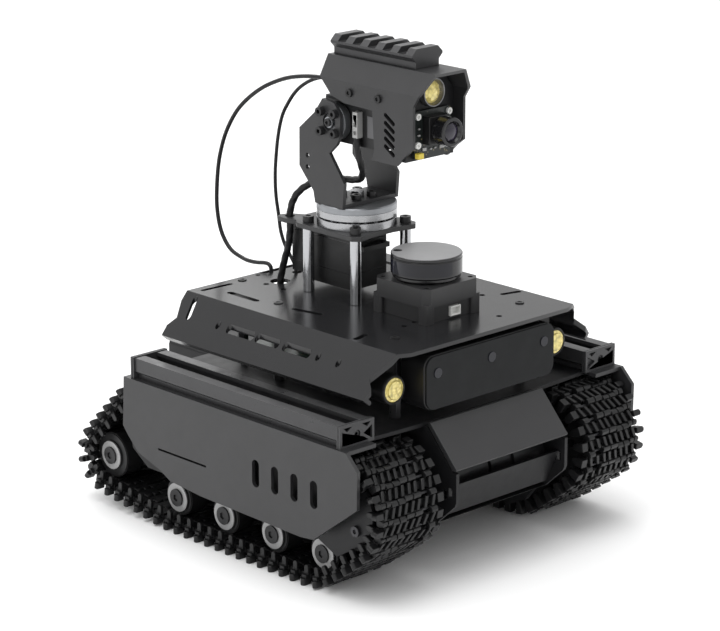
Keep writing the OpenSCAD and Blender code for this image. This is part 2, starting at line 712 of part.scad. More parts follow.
module lidar_base() {
    w = lidar_w;
    c = 3.5;
    h = w / 2;
    leg = 6.5;
    color("#1c1c1e") difference() {
        union() {
            translate([0, lidar_y, 0]) {
                along_z(126.5, lidar_top_z) polygon([
                    [-h + c, -h], [h - c, -h], [h, -h + c], [h, h - c], [h - c, h], [-h + c, h], [-h, h - c], [-h, -h + c]
                ]);
                block(-h + 2.4, h - 2.4, -h + 2, h - 2.4, deck_z, 127);
                for (sx = [-1, 1], sy = [-1, 1]) translate([sx * (h - 3.2), sy * (h - 3.2), 0]) {
                    along_z(deck_z, 128) rounded(leg - 0.4, leg - 0.4, 1.4);
                }
            }
            rod_z(lidar_top_z - 1, lidar_top_z + 3, 0, lidar_y, 3.95);
        }
        for (sx = [-1, 1], sy = [-1, 1]) rod_z(132, 140, sx * 15.4, lidar_y + sy * 15.4, 1.3);
        block(-1.6, 5.6, lidar_y - h - 1, lidar_y - h + 5, 119.2, 124.4);
    }
    color("white") difference() {
        block(-1.5, 5.5, lidar_y - h + 0.6, lidar_y - h + 5, 119.3, 124.3);
        block(-0.8, 4.8, lidar_y - h - 1, lidar_y - h + 3, 120, 123.6);
    }
}
module lidar_head() {
    color("#0f0f11") translate([0, lidar_y, 0]) difference() {
        rotate_extrude() polygon([
            [0, 137], [17.2, 137], [17.2, 138.4], [18, 139], [18, 146.8], [17.7, 147], [17.7, 147.4], [18, 147.6],
            [18, 148.7], [17.5, 149.2], [0, 149.2]
        ]);
        rod_z(130, 139.4, 0, 0, 4);
        rod_z(148.4, 150, -9.5, 11, 2.4);
    }
}

// ---------------------------------------------------------------- mast
module mast_posts() {
    color(steel) for (x = [-1, 1], y = [-1, 1]) difference() {
        rod_z(deck_z, mast_plate_z, x * post_half, mast_y + y * post_half, 2.9);
        rod_z(110, 130, x * post_half, mast_y + y * post_half, 1.55);
        rod_z(140, 160, x * post_half, mast_y + y * post_half, 1.55);
    }
}
module mast_plate() {
    color(charcoal) difference() {
        along_z(mast_plate_z, mast_plate_z + mast_plate_t) polygon([
            [-19, -24], [-6, -21.6], [6, -21.6], [19, -24], [22.6, -20.5], [22.6, 20], [19, 25], [21, 31], [20.5, 37],
            [17, 39], [12, 37], [8, 30], [-8, 30], [-12, 37], [-17, 39], [-20.5, 37], [-21, 31], [-19, 25],
            [-22.6, 20], [-22.6, -20.5]
        ]);
        for (x = [-1, 1], y = [-1, 1]) rod_z(140, 170, x * post_half, mast_y + y * post_half, 1.6);
        rod_z(140, 170, 0, mast_y, 8);
        for (s = [-1, 1]) rod_z(140, 170, s * 15.5, 33, 2.6);
    }
}
module pan_servo() {
    color(black) difference() {
        union() {
            block(-12.4, 12.4, -9.5, 34.9, 125, 150.4);
            block(-11.6, 11.6, -8.7, 28, 122, 126);
            block(-11.6, 11.6, -8.7, 28, 150, mast_plate_z);
            rod_z(150, mast_plate_z, 0, mast_y, 7.6);
            block(-9, 9, -15.5, 40.9, 143, 145.5);
        }
        rod_z(146.5, 160, 0, mast_y, 2.95);
        for (x = [-5, 5], y = [-12.5, 38]) rod_z(130, 150, x, y, 1.5);
    }
}
module bearing_lower_ring() {
    color(steel) translate([0, mast_y, 0]) rotate_extrude() difference() {
        translate([bearing_in_r, mast_plate_z + mast_plate_t]) square([bearing_r - bearing_in_r, 4]);
        translate([ball_ring_r, ball_z]) circle(ball_r + 0.1);
    }
    color("#e4e6e8") translate([0, mast_y, 0]) for (a = [0:20:340]) {
        translate([ball_ring_r * cos(a), ball_ring_r * sin(a), ball_z]) sphere(ball_r);
    }
}
module bearing_upper_ring() {
    color(steel) translate([0, mast_y, 0]) rotate_extrude() difference() {
        translate([bearing_in_r, 159.4]) square([bearing_r - bearing_in_r, turntable_z - 159.4]);
        translate([ball_ring_r, ball_z]) circle(ball_r + 0.1);
    }
}
module pan_turntable() {
    color("#8f9296") translate([0, mast_y, 0]) difference() {
        rotate_extrude() polygon([
            [0, 147], [2.9, 147], [2.9, 155.5], [9, 155.5], [9, turntable_z], [bearing_r, turntable_z],
            [bearing_r, bracket_z - 0.6], [bearing_r - 0.6, bracket_z], [0, bracket_z]
        ]);
        for (a = [45:90:315]) rod_z(160, 170, 7.5 * cos(a), 7.5 * sin(a), 1.6);
    }
}
module pan_bracket() {
    color(charcoal) difference() {
        union() {
            block(-arm_x, arm_x, -10.8, 9.5, bracket_z, bracket_z + sheet);
            both_sides() along_x(arm_in_x, arm_x) polygon([
                [9.5, bracket_z], [-10.8, bracket_z], [-12, 179.7], [-1.3, 193.8], [-6.6, 198.7], [-9.4, 204],
                [-9.4, 214.6], [-5, 219.8], [3.6, 221.1], [9.6, 213.1], [20.9, 203.6], [21.1, 183.9], [10.8, 172.5]
            ]);
        }
        for (a = [45:90:315]) rod_z(160, 170, 7.5 * cos(a), mast_y + 7.5 * sin(a), 1.6);
        rod_x(-30, 30, pivot_y, pivot_z, 4.5);
        for (y = [-5, 5], z = [-5, 5]) rod_x(-30, 30, pivot_y + y, pivot_z + z, 1.3);
        for (z = [184, 190]) rod_x(-30, 30, 15, z, 1.3);
    }
}
module bracket_screws() {
    color(black) both_sides() for (y = [-5, 5], z = [-5, 5]) {
        translate([arm_x, pivot_y + y, pivot_z + z]) rotate([0, 90, 0]) cap_screw(2.3, 3, 1.2, 3.6, 1.2);
    }
    color(black) for (a = [45:90:315]) {
        translate([7.5 * cos(a), mast_y + 7.5 * sin(a), bracket_z + sheet]) cap_screw(2.5, 2.5, 1.5, 4.6, 1.3);
    }
    color(steel) rod_z(bracket_z + sheet, bracket_z + sheet + 3, 0, mast_y, 3.8, $fn = 6);
}
module servo_horns() {
    color("#9a9da1") both_sides() difference() {
        union() {
            rod_x(13.2, arm_in_x, pivot_y, pivot_z, 9.6);
            rod_x(9, arm_x + 0.6, pivot_y, pivot_z, 2.9);
            rod_x(12.9, arm_in_x, pivot_y, pivot_z, 4.2);
        }
        for (y = [-5, 5], z = [-5, 5]) rod_x(13, 30, pivot_y + y, pivot_z + z, 1.25);
    }
}

// ---------------------------------------------------------------- camera head
module tilt_servo() {
    color(black) difference() {
        union() {
            block(-12.5, 12.5, -31.6, 8.6, 198.6, 220.6);
            block(-11.9, 11.9, -32, 9, 199.2, 220);
        }
        both_sides() rod_x(8, 14, pivot_y, pivot_z, 2.95);
    }
    color("white") difference() {
        block(-16.2, -12.5, -18.2, -14.8, 203.4, 216.6);
        for (z = [206, 210, 214]) block(-17, -15, -17.6, -15.4, z - 1, z + 1);
    }
    color("#c9c9cb") block(-12.8, -12.5, -28.5, -22, 204, 215);
}
module head_section() {
    t = head_t;
    w = head_half_w;
    polygon([
        [w, 190], [w, 231.5], [10.5, 242], [-10.5, 242], [-w, 231.5], [-w, 190],
        [-w + t, 190], [-w + t, 231.5 - 0.5 * t], [-10.5 + 0.5 * t, 242 - t], [10.5 - 0.5 * t, 242 - t],
        [w - t, 231.5 - 0.5 * t], [w - t, 190]
    ]);
}
module head_side() {
    polygon([
        [9, 243], [8, 237], [7.2, 232.4], [-1.5, 223.3], [-11, 220.6], [-31, 220], [-32.5, 200], [-30.5, 195],
        [-48.3, 194.8], [-54.7, 201], [-59.7, 204.7], [-59.7, 226], [-63.5, 232], [-68, 243]
    ]);
}
module head_shell() {
    color(charcoal) difference() {
        intersection() {
            along_y(-70, 20) head_section();
            along_x(-20, 20) head_side();
        }
        for (y = [-15, -35.5]) rod_x(-30, 30, y, 226.5, 1.3);
        for (k = [0:4]) along_x(-30, 30) slot([-46, 200 + 3.9 * k], [-40.5, 203.6 + 3.9 * k], 1.1);
        for (y = [-42, 0]) rod_z(230, 250, 0, y, 1.6);
    }
}
module head_frame() {
    side = head_half_w - head_t;
    color("#1f1f21") difference() {
        union() {
            along_y(-53, -51.4) polygon([
                [-side, 197], [side, 197], [side, 229.5], [9, 239], [-9, 239], [-side, 229.5]
            ]);
            block(-side, side, -52, -32.4, 197, 198.4);
            block(-side, side, -52, 4, 221.2, 222.8);
            both_sides() block(side - 1.6, side, -44, -9, 222, 229.5);
        }
        rod_y(-60, -40, 0, 230.3, 7.3);
        rod_y(-60, -40, 0, 212.3, 5);
        for (x = [-10.75, 10.75], z = [219.5, 205.2]) rod_y(-60, -40, x, z, 1.1);
        for (y = [-15, -35.5]) rod_x(-30, 30, y, 226.5, 1.2);
        block(-8, 8, -46.5, -40, 220, 224);
        block(-6, 6, -34, -20, 196, 198.5);
    }
    color(black) block(-7, 8, -6, 0, 222.8, 230.8);
}
module accessory_rail() {
    ridge = 5.2;
    base_z = 242;
    color("#2a2a2c") difference() {
        along_y(-51.3, 7.1) polygon([
            [8, base_z], [8, base_z + 3.4], [10.5, base_z + 5.9], [10.5, base_z + 6.9], [7.4, base_z + 10],
            [-7.4, base_z + 10], [-10.5, base_z + 6.9], [-10.5, base_z + 5.9], [-8, base_z + 3.4], [-8, base_z]
        ]);
        for (k = [0:4]) block(-12, 12, -51.3 + 10.64 * k + ridge, -51.3 + 10.64 * (k + 1), base_z + 6.9, base_z + 12);
        for (y = [-42, 0]) rod_z(230, 246, 0, y, 1.6);
    }
}
module camera_board() {
    color("#0d1a14") difference() {
        translate([0, 0, 210]) along_y(-55, -53.4) rounded(25, 24, 1.5);
        for (x = [-10.75, 10.75], z = [219.5, 205.2]) rod_y(-60, -50, x, z, 1.1);
    }
    color("#151517") block(-7, 7, -60, -55, 205.3, 219.3);
    color("#d8b32a") block(-12, -8.4, -57.6, -55, 198.6, 201.4);
}
module camera_lens() {
    color("#121214") translate([0, 0, 212.3]) rotate([90, 0, 0]) rotate_extrude() polygon([
        [0, 60], [6.2, 60], [6.2, 62], [7.3, 62.4], [7.3, 68.6], [6.9, 69], [5.6, 69], [4.6, 67.2], [0, 67.2]
    ]);
    color("#20242c") translate([0, 0, 212.3]) rotate([90, 0, 0]) translate([0, 0, 67.2]) rotate_extrude()
        polygon([[0, 0], [4.4, 0], [4.4, 0.4], [3.2, 0.9], [1.6, 1.2], [0, 1.3]]);
}
module spotlight() {
    color("#6b5a2c") translate([0, 0, 230.3]) rotate([90, 0, 0]) rotate_extrude() polygon([
        [0, 44], [7.2, 44], [7.2, 56.4], [6.5, 56.4], [5.6, 54], [2, 50], [0, 50]
    ]);
    color("#fff3c4") translate([0, 0, 230.3]) rotate([90, 0, 0]) translate([0, 0, 50]) cylinder(r = 1.5, h = 2.5);
}
module head_screws() {
    color(black) both_sides() for (y = [-15, -35.5]) {
        translate([head_half_w, y, 226.5]) rotate([0, 90, 0]) cap_screw(2.1, 1.2, 1.15, 4, 1.1);
    }
    color("white") for (x = [-10.75, 10.75], z = [219.5, 205.2]) {
        translate([x, -55, z]) rotate([90, 0, 0]) cap_screw(1.7, 1.3, 1, 4.5, 0.8);
    }
}
module power_switch() {
    color(black) translate(switch_at) rotate([10, 0, 0]) {
        along_x(-5, 5) polygon([[-1.8, -3], [-1.8, 3], [0.6, 7.2], [3.4, 7.2], [2.4, 0], [3.4, -7.2], [0.6, -7.2]]);
        rod_x(-6.2, 6.2, 0, 0, 0.8, $fn = 24);
    }
}

// ---------------------------------------------------------------- inside the hull
module gear_motors() {
    color("#77797c") both_sides() difference() {
        union() {
            rod_x(16, tub_half_w - sheet, sprocket_y, sprocket_z, 12);
            rod_x(1, 16, sprocket_y, sprocket_z, 10.5);
        }
        rod_x(33, 45, sprocket_y, sprocket_z, 3 + running);
    }
}
module battery_pack() {
    color("#2f5fa8") block(-33, 33, -20, 60, tub_floor_z + sheet, 50);
}
module circuit_boards() {
    color("#0e5a35") difference() {
        block(-40.5, 40.5, -34, 49, fender_z + 6.3, fender_z + 7.9);
        for (x = [-38, 38], y = [-30, 45]) rod_z(60, 130, x, y, 1.3);
    }
    board_top = fender_z + 7.9;
    color("#222224") block(-18, 18, -12, 26, board_top, fender_z + 20);
    color("#222224") block(-10, -2, 42, 49, board_top, board_top + 6);
    color("#222224") block(-1, 5, 44.4, 49, board_top, 92);
    color("#222224") block(-19, -13, 38, 44, board_top, 92);
    color("#0e5a35") block(-32, 32, -60, -24, 60, 61.6);
    color("#222224") for (x = [-30, 30]) block(x - 2, x + 2, -60, -24, tub_floor_z + sheet, 60);
}

// ---------------------------------------------------------------- cables
module head_cables_lower() {
    color(black) tube(usb_route, 0, usb_split, cable_r);
    color(black) tube(camera_route, 0, camera_split, cable_r);
}
module head_cables_upper() {
    color(black) tube(usb_route, usb_split, len(usb_route) - 1, cable_r);
    color(black) tube(camera_route, camera_split, len(camera_route) - 1, cable_r);
}
module servo_lead_lower() {
    color(black) tube(servo_route, 0, servo_split, servo_lead_r);
}
module servo_lead_upper() {
    color(black) tube(servo_route, servo_split, len(servo_route) - 1, servo_lead_r);
}

hull_tub();
nose_plate();
hull_end_plates();
fender_plate();
side_panels();
track_frame_plates();
drive_bearings();
wheel_axles();
axle_washers();
track_links();
track_pins();
side_rails();
rail_end_caps();
top_deck();
standoffs();
chassis_screws();
depth_camera_body();
depth_camera_window();
headlamps();
lidar_base();
mast_posts();
mast_plate();
pan_servo();
bearing_lower_ring();
gear_motors();
battery_pack();
circuit_boards();
pan_turntable();
bearing_upper_ring();
pan_bracket();
bracket_screws();
servo_horns();
tilt_servo();
head_shell();
head_frame();
accessory_rail();
camera_board();
camera_lens();
spotlight();
head_screws();
lidar_head();
power_switch();
sprocket_left();
sprocket_right();
road_wheel_left_1();
road_wheel_left_2();
road_wheel_left_3();
road_wheel_left_4();
road_wheel_right_1();
road_wheel_right_2();
road_wheel_right_3();
road_wheel_right_4();
idler_left();
idler_right();
return_roller_left();
return_roller_right();
head_cables_lower();
head_cables_upper();
servo_lead_lower();
servo_lead_upper();
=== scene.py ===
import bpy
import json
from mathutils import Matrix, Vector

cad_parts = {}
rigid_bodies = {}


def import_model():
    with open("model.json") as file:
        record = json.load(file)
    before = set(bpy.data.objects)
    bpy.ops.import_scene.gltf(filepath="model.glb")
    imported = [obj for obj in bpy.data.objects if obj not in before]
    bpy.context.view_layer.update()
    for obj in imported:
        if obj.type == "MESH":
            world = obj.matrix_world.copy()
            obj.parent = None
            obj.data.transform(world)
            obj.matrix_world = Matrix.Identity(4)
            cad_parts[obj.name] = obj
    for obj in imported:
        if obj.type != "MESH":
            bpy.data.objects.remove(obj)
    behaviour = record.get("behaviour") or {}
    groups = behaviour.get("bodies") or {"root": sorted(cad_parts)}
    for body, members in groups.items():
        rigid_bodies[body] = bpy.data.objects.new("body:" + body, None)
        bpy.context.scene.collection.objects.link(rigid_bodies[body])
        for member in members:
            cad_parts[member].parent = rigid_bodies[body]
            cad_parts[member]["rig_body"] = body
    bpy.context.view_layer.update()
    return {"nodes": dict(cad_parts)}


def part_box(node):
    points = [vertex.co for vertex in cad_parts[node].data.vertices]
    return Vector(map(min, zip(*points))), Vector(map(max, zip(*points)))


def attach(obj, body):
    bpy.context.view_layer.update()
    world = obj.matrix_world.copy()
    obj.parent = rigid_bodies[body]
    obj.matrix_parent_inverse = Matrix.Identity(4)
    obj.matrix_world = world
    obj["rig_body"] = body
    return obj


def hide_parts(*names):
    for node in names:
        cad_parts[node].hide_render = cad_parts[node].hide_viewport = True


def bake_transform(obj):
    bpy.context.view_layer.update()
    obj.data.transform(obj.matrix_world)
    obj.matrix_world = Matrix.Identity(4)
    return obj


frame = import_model()

import json
import math

import bmesh
import bpy
import numpy as np
from mathutils import Matrix, Vector

MM = 0.001
NODES = frame["nodes"]

# Angles between neighbouring faces, in degrees
PLANE_TURN = 0.6  # below this they become one face
FLAT_TURN = 1  # from here to CURVE_TURN they are shaded as one curve
CURVE_TURN = 32
BEVEL_TURN = 28  # above this the edge between them is rounded
# Corners closer than this become one corner, in metres
CAD_WELD = 2e-7
LATHE_WELD = 1e-7
# Depth of the fine grain on a surface, and roughness of a clear coat
GRAIN_DEPTH = 0.03 * MM
COAT_ROUGHNESS = 0.08


# ---------------------------------------------------------------- camera
def make_camera():
    azimuth, elevation, roll = math.radians(-43.45), math.radians(16.48), math.radians(-0.18)
    back = Vector((
        math.sin(azimuth) * math.cos(elevation),
        -math.cos(azimuth) * math.cos(elevation),
        math.sin(elevation),
    ))
    right = Vector((math.cos(azimuth), math.sin(azimuth), 0))
    up = back.cross(right)
    turn = Matrix((right, up, back)).transposed().to_4x4()
    data = bpy.data.cameras.new("camera")
    data.sensor_fit = "HORIZONTAL"
    data.sensor_width = 36
    data.lens = 139.71
    data.clip_start = 0.05
    data.clip_end = 20
    camera = bpy.data.objects.new("camera", data)
    place = Matrix.Translation((-0.9481, -1.0036, 0.5131))
    camera.matrix_world = place @ turn @ Matrix.Rotation(roll, 4, "Z")
    bpy.context.scene.collection.objects.link(camera)
    bpy.context.scene.camera = camera


make_camera()


# ---------------------------------------------------------------- materials
class Graph:
    """A Principled material on object coordinates, with helpers for its nodes."""

    def __init__(self, name):
        self.material = bpy.data.materials.new(name)
        self.material.use_nodes = True
        self.tree = self.material.node_tree
        self.shader = self.tree.nodes["Principled BSDF"]
        self.place = self.add("ShaderNodeTexCoord").outputs["Object"]

    def add(self, kind, **settings):
        node = self.tree.nodes.new(kind)
        for key, value in settings.items():
            setattr(node, key, value)
        return node

    def join(self, output, socket):
        self.tree.links.new(output, socket)

    def mapped(self, scale=(1, 1, 1), turn=(0, 0, 0)):
        node = self.add("ShaderNodeMapping")
        node.inputs["Scale"].default_value = scale
        node.inputs["Rotation"].default_value = turn
        self.join(self.place, node.inputs["Vector"])
        return node.outputs["Vector"]

    def noise(self, scale, detail=3.0, rough=0.55, vector=None, distortion=0.0):
        node = self.add("ShaderNodeTexNoise")
        node.inputs["Scale"].default_value = scale
        node.inputs["Detail"].default_value = detail
        node.inputs["Roughness"].default_value = rough
        node.inputs["Distortion"].default_value = distortion
        self.join(vector or self.place, node.inputs["Vector"])
        return node.outputs["Fac"]

    def ramp(self, value, stops):
        node = self.add("ShaderNodeValToRGB")
        ramp = node.color_ramp
        while len(ramp.elements) < len(stops):
            ramp.elements.new(0.5)
        for element, (at, colour) in zip(ramp.elements, stops):
            element.position = at
            element.color = (*colour, 1)
        self.join(value, node.inputs["Fac"])
        return node.outputs["Color"]

    def spread(self, value, low, high, start=0.3, end=0.7):
        node = self.add("ShaderNodeMapRange")
        for key, number in (("From Min", start), ("From Max", end), ("To Min", low), ("To Max", high)):
            node.inputs[key].default_value = number
        self.join(value, node.inputs["Value"])
        return node.outputs["Result"]

    def mix(self, factor, a, b):
        node = self.add("ShaderNodeMix", data_type="RGBA", blend_type="MIX")
        self.join(factor, node.inputs["Factor"])
        for socket, value in ((node.inputs[6], a), (node.inputs[7], b)):
            if isinstance(value, tuple):
                socket.default_value = (*value, 1)
            else:
                self.join(value, socket)
        return node.outputs[2]

    def bump(self, height, strength, distance, onto=None):
        node = self.add("ShaderNodeBump")
        node.inputs["Strength"].default_value = strength
        node.inputs["Distance"].default_value = distance
        self.join(height, node.inputs["Height"])
        if onto is not None:
            self.join(onto, node.inputs["Normal"])
        return node.outputs["Normal"]


def tinted(colour, factor):
    return tuple(min(1.0, c * factor) for c in colour)


def finish(name, base, rough, metal=0.0, tint=0.14, patch=55.0, grain=1500.0, grain_bump=0.25,
           swing=0.07, coat=0.0, specular=0.5, scratch=0.0, turned=None, dust=0.0):
    """A painted, moulded or machined surface: uneven colour and gloss, fine grain and faint marks."""
    g = Graph(name)
    broad = g.noise(patch, 4.0)
    colour = g.ramp(broad, [(0.3, tinted(base, 1 - tint)), (0.5, base), (0.72, tinted(base, 1 + tint))])
    gloss = g.spread(g.noise(patch * 3.1, 5.0, 0.62), rough - swing, rough + swing)
    grainy = g.noise(grain, 3.0, 0.6)
    normal = g.bump(grainy, grain_bump, GRAIN_DEPTH)
    if turned:
        # Fine tool marks across the named axis
        stretch = [1.0, 1.0, 1.0]
        stretch["xyz".index(turned)] = 90.0
        lines = g.noise(45.0, 4.0, 0.7, g.mapped(tuple(stretch)))
        normal = g.bump(lines, 0.35, 0.02 * MM, normal)
        colour = g.mix(g.spread(lines, 0.0, 0.3), colour, tinted(base, 0.72))
    if scratch:
        # Hairline marks, a little paler than the surface
        marks = g.noise(60.0, 6.0, 0.75, g.mapped((14.0, 1.5, 5.0), (0.4, 0.9, 0.3)), 0.6)
        amount = g.spread(marks, 0.0, scratch, 0.66, 0.74)
        colour = g.mix(amount, colour, tinted(base, 2.6))
    if dust:
        # Pale specks
        specks = g.noise(2600.0, 2.0, 0.5)
        colour = g.mix(g.spread(specks, 0.0, dust, 0.7, 0.78), colour, (0.32, 0.32, 0.31))
    g.join(colour, g.shader.inputs["Base Color"])
    g.join(gloss, g.shader.inputs["Roughness"])
    g.join(normal, g.shader.inputs["Normal"])
    g.shader.inputs["Metallic"].default_value = metal
    g.shader.inputs["Specular IOR Level"].default_value = specular
    g.shader.inputs["Coat Weight"].default_value = coat
    g.shader.inputs["Coat Roughness"].default_value = COAT_ROUGHNESS
    return g.material


def board_material(name, mask, copper):
    """Printed circuit board: solder mask over traces, with pads."""
    g = Graph(name)
    bricks = g.add("ShaderNodeTexBrick", offset=0.5, squash=1.0)
    bricks.inputs["Scale"].default_value = 210.0
    bricks.inputs["Mortar Size"].default_value = 0.03
    bricks.inputs["Color1"].default_value = (1, 1, 1, 1)
    bricks.inputs["Color2"].default_value = (0.8, 0.8, 0.8, 1)
    bricks.inputs["Mortar"].default_value = (0, 0, 0, 1)
    g.join(g.mapped((1, 1, 1), (0.0, 0.0, 0.3)), bricks.inputs["Vector"])
    traces = bricks.outputs["Fac"]
    dots = g.add("ShaderNodeTexVoronoi")
    dots.inputs["Scale"].default_value = 420.0
    g.join(g.place, dots.inputs["Vector"])
    pads = g.spread(dots.outputs["Distance"], 1.0, 0.0, 0.16, 0.2)
    colour = g.mix(g.noise(90.0, 4.0), tinted(mask, 0.75), tinted(mask, 1.2))
    colour = g.mix(g.spread(traces, 0.0, 0.45, 0.0, 1.0), colour, tinted(mask, 2.0))
    colour = g.mix(pads, colour, copper)
    g.join(colour, g.shader.inputs["Base Color"])
    g.join(g.spread(g.noise(400.0), 0.28, 0.42), g.shader.inputs["Roughness"])
    g.join(g.bump(traces, 0.3, 0.03 * MM), g.shader.inputs["Normal"])
    return g.material


def lamp_material():
    """Faceted amber lens over a reflector."""
    g = Graph("amber_lens")
    cells = g.add("ShaderNodeTexVoronoi")
    cells.inputs["Scale"].default_value = 620.0
    g.join(g.place, cells.inputs["Vector"])
    shade = cells.outputs["Distance"]
    colour = g.ramp(shade, [(0.0, (0.95, 0.80, 0.30)), (0.5, (0.66, 0.52, 0.13)), (0.9, (0.24, 0.19, 0.04))])
    colour = g.mix(g.spread(g.noise(160.0), 0.0, 0.5), colour, (0.55, 0.52, 0.16))
    g.join(colour, g.shader.inputs["Base Color"])
    g.join(g.spread(g.noise(500.0), 0.12, 0.26), g.shader.inputs["Roughness"])
    g.join(g.bump(shade, 0.8, 0.25 * MM), g.shader.inputs["Normal"])
    g.shader.inputs["Metallic"].default_value = 0.35
    g.shader.inputs["Coat Weight"].default_value = 1.0
    g.shader.inputs["Coat Roughness"].default_value = 0.04
    g.shader.inputs["Emission Color"].default_value = (1.0, 0.84, 0.36, 1)
    g.shader.inputs["Emission Strength"].default_value = 0.12
    return g.material


def glass_material(name, base, tint, rough=0.05, shine=0.45, coat=0.3):
    """Dark glass: smooth, with a coloured film and faint smears."""
    g = Graph(name)
    film = g.add("ShaderNodeLayerWeight")
    film.inputs["Blend"].default_value = 0.35
    colour = g.mix(film.outputs["Facing"], base, tint)
    colour = g.mix(g.spread(g.noise(120.0, 4.0), 0.0, 0.35), colour, tinted(base, 2.0))
    g.join(colour, g.shader.inputs["Base Color"])
    g.join(g.spread(g.noise(70.0, 5.0, 0.6), rough, rough + 0.09), g.shader.inputs["Roughness"])
    g.join(g.bump(g.noise(240.0), 0.05, 0.02 * MM), g.shader.inputs["Normal"])
    g.shader.inputs["Specular IOR Level"].default_value = shine
    g.shader.inputs["Coat Weight"].default_value = coat
    g.shader.inputs["Coat Roughness"].default_value = 0.03
    return g.material


def cable_material():
    """Cable jacket with a faint twisted ridge."""
    g = Graph("cable_jacket")
    waves = g.add("ShaderNodeTexWave", wave_type="BANDS", bands_direction="DIAGONAL")
    waves.inputs["Scale"].default_value = 260.0
    waves.inputs["Distortion"].default_value = 0.6
    g.join(g.place, waves.inputs["Vector"])
    colour = g.mix(g.noise(220.0), (0.006, 0.006, 0.0065), (0.012, 0.012, 0.013))
    g.join(colour, g.shader.inputs["Base Color"])
    g.join(g.spread(g.noise(300.0), 0.36, 0.52), g.shader.inputs["Roughness"])
    g.join(g.bump(waves.outputs["Fac"], 0.25, 0.06 * MM), g.shader.inputs["Normal"])
    g.shader.inputs["Specular IOR Level"].default_value = 0.3
    return g.material


# Painted shade: a darker copy of the charcoal sheet for the hull tub, hull end plates, fender, track frame
# plates and head frame, where shade falls on them
SHADED_SHEET = finish("charcoal_sheet_painted_shade", (0.009, 0.009, 0.010), 0.46, tint=0.08, grain=1700.0,
                    grain_bump=0.22, scratch=0.04, dust=0.02, swing=0.04, specular=0.3)
SHEET = finish("satin_charcoal_sheet", (0.022, 0.022, 0.0233), 0.40, tint=0.08, grain=1700.0, grain_bump=0.22,
               scratch=0.05, dust=0.05, swing=0.04)
DECK = finish("semi_gloss_deck", (0.0115, 0.0115, 0.0125), 0.21, tint=0.08, patch=30.0, grain=1500.0,
              grain_bump=0.08, scratch=0.05, dust=0.05, swing=0.02)
RAIL = finish("anodised_rail", (0.046, 0.046, 0.048), 0.34, metal=0.35, turned="x", tint=0.08, scratch=0.08)
CAP = finish("moulded_end_cap", (0.034, 0.034, 0.036), 0.46, grain=2200.0, tint=0.12)
PLASTIC = finish("black_moulded_plastic", (0.008, 0.008, 0.0085), 0.40, grain=2600.0, grain_bump=0.3,
                 dust=0.03, specular=0.4)
TREAD = finish("track_plastic_black", (0.0065, 0.0065, 0.0070), 0.40, grain=1900.0, grain_bump=0.25, tint=0.3,
               swing=0.10, dust=0.03, specular=0.38)
WHEEL = finish("wheel_plastic_black", (0.009, 0.009, 0.0095), 0.45, grain=1600.0, tint=0.2, specular=0.4)
GLOSS = finish("gloss_black_moulding", (0.008, 0.008, 0.009), 0.18, grain=2500.0, grain_bump=0.06, swing=0.03,
               patch=30.0)
HOUSING = finish("satin_black_housing", (0.022, 0.022, 0.023), 0.33, grain=2500.0, grain_bump=0.08,
                 swing=0.04, patch=30.0)
# Painted light: the top of the scanner cap is made pale grey, lighter than its glossy black side, as where
# light falls on it from above
LIT_CAP_TOP = finish("cap_top_painted_light", (0.24, 0.24, 0.245), 0.32, grain=2500.0, grain_bump=0.05, tint=0.05,
                 swing=0.04, patch=30.0)
CAN = finish("motor_can", (0.025, 0.025, 0.027), 0.38, metal=0.3, grain=2600.0, tint=0.1)
STEEL = finish("polished_steel", (0.46, 0.465, 0.48), 0.17, metal=1.0, turned="z", tint=0.05, swing=0.05)
TURNED = finish("turned_steel", (0.40, 0.405, 0.415), 0.27, metal=1.0, turned="z", tint=0.06, swing=0.06)
ALLOY = finish("cast_alloy", (0.30, 0.31, 0.325), 0.36, metal=0.9, turned="z", tint=0.08)
SCREW = finish("black_oxide_screw", (0.020, 0.020, 0.021), 0.36, metal=0.4, grain=3000.0, tint=0.2,
               scratch=0.1)
NUT = finish("dark_zinc_screw", (0.06, 0.06, 0.064), 0.34, metal=0.7, grain=3000.0, tint=0.2, scratch=0.1)
WASHER = finish("zinc_washer", (0.36, 0.36, 0.36), 0.45, metal=0.2, grain=2300.0, tint=0.10, scratch=0.1)
WHITE = finish("white_nylon", (0.72, 0.72, 0.70), 0.42, grain=1800.0, tint=0.05, swing=0.05)
YELLOW = finish("yellow_connector", (0.70, 0.55, 0.07), 0.42, grain=1800.0, tint=0.08)
LABEL = finish("grey_label", (0.105, 0.105, 0.110), 0.42, grain=1200.0, tint=0.08)
PLUG = finish("grey_white_nylon", (0.36, 0.36, 0.355), 0.42, grain=1800.0, tint=0.08)
CELL = finish("battery_wrap", (0.03, 0.10, 0.34), 0.30, grain=900.0, tint=0.12, coat=0.4)
CUP = finish("spot_housing", (0.20, 0.20, 0.205), 0.30, metal=0.8, turned="y", tint=0.1)
BOARD = board_material("black_board", (0.006, 0.009, 0.008), (0.16, 0.13, 0.07))
GREEN = board_material("green_board", (0.005, 0.030, 0.015), (0.28, 0.21, 0.08))
LAMP = lamp_material()
GLASS = glass_material("smoked_glass", (0.006, 0.006, 0.009), (0.02, 0.022, 0.034), 0.06, 0.32, 0.1)
WINDOW = glass_material("window_glass", (0.010, 0.0105, 0.011), (0.018, 0.019, 0.020), 0.14, 0.10, 0.0)
LENS = glass_material("coated_lens", (0.004, 0.004, 0.008), (0.045, 0.03, 0.075), 0.02)
JACKET = cable_material()


# ---------------------------------------------------------------- mesh helpers
def new_piece(name, mesh, material, body, replaced=()):
    """Makes an object of the mesh that rides on the body and stands in for the replaced CAD nodes."""
    piece = bpy.data.objects.new(name, mesh)
    bpy.context.scene.collection.objects.link(piece)
    mesh.materials.clear()
    mesh.materials.append(material)
    if body:
        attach(piece, body)
    if replaced:
        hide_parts(*replaced)
    return piece


def mesh_of(name, bm):
    mesh = bpy.data.meshes.new(name)
    bm.normal_update()
    bm.to_mesh(mesh)
    bm.free()
    return mesh


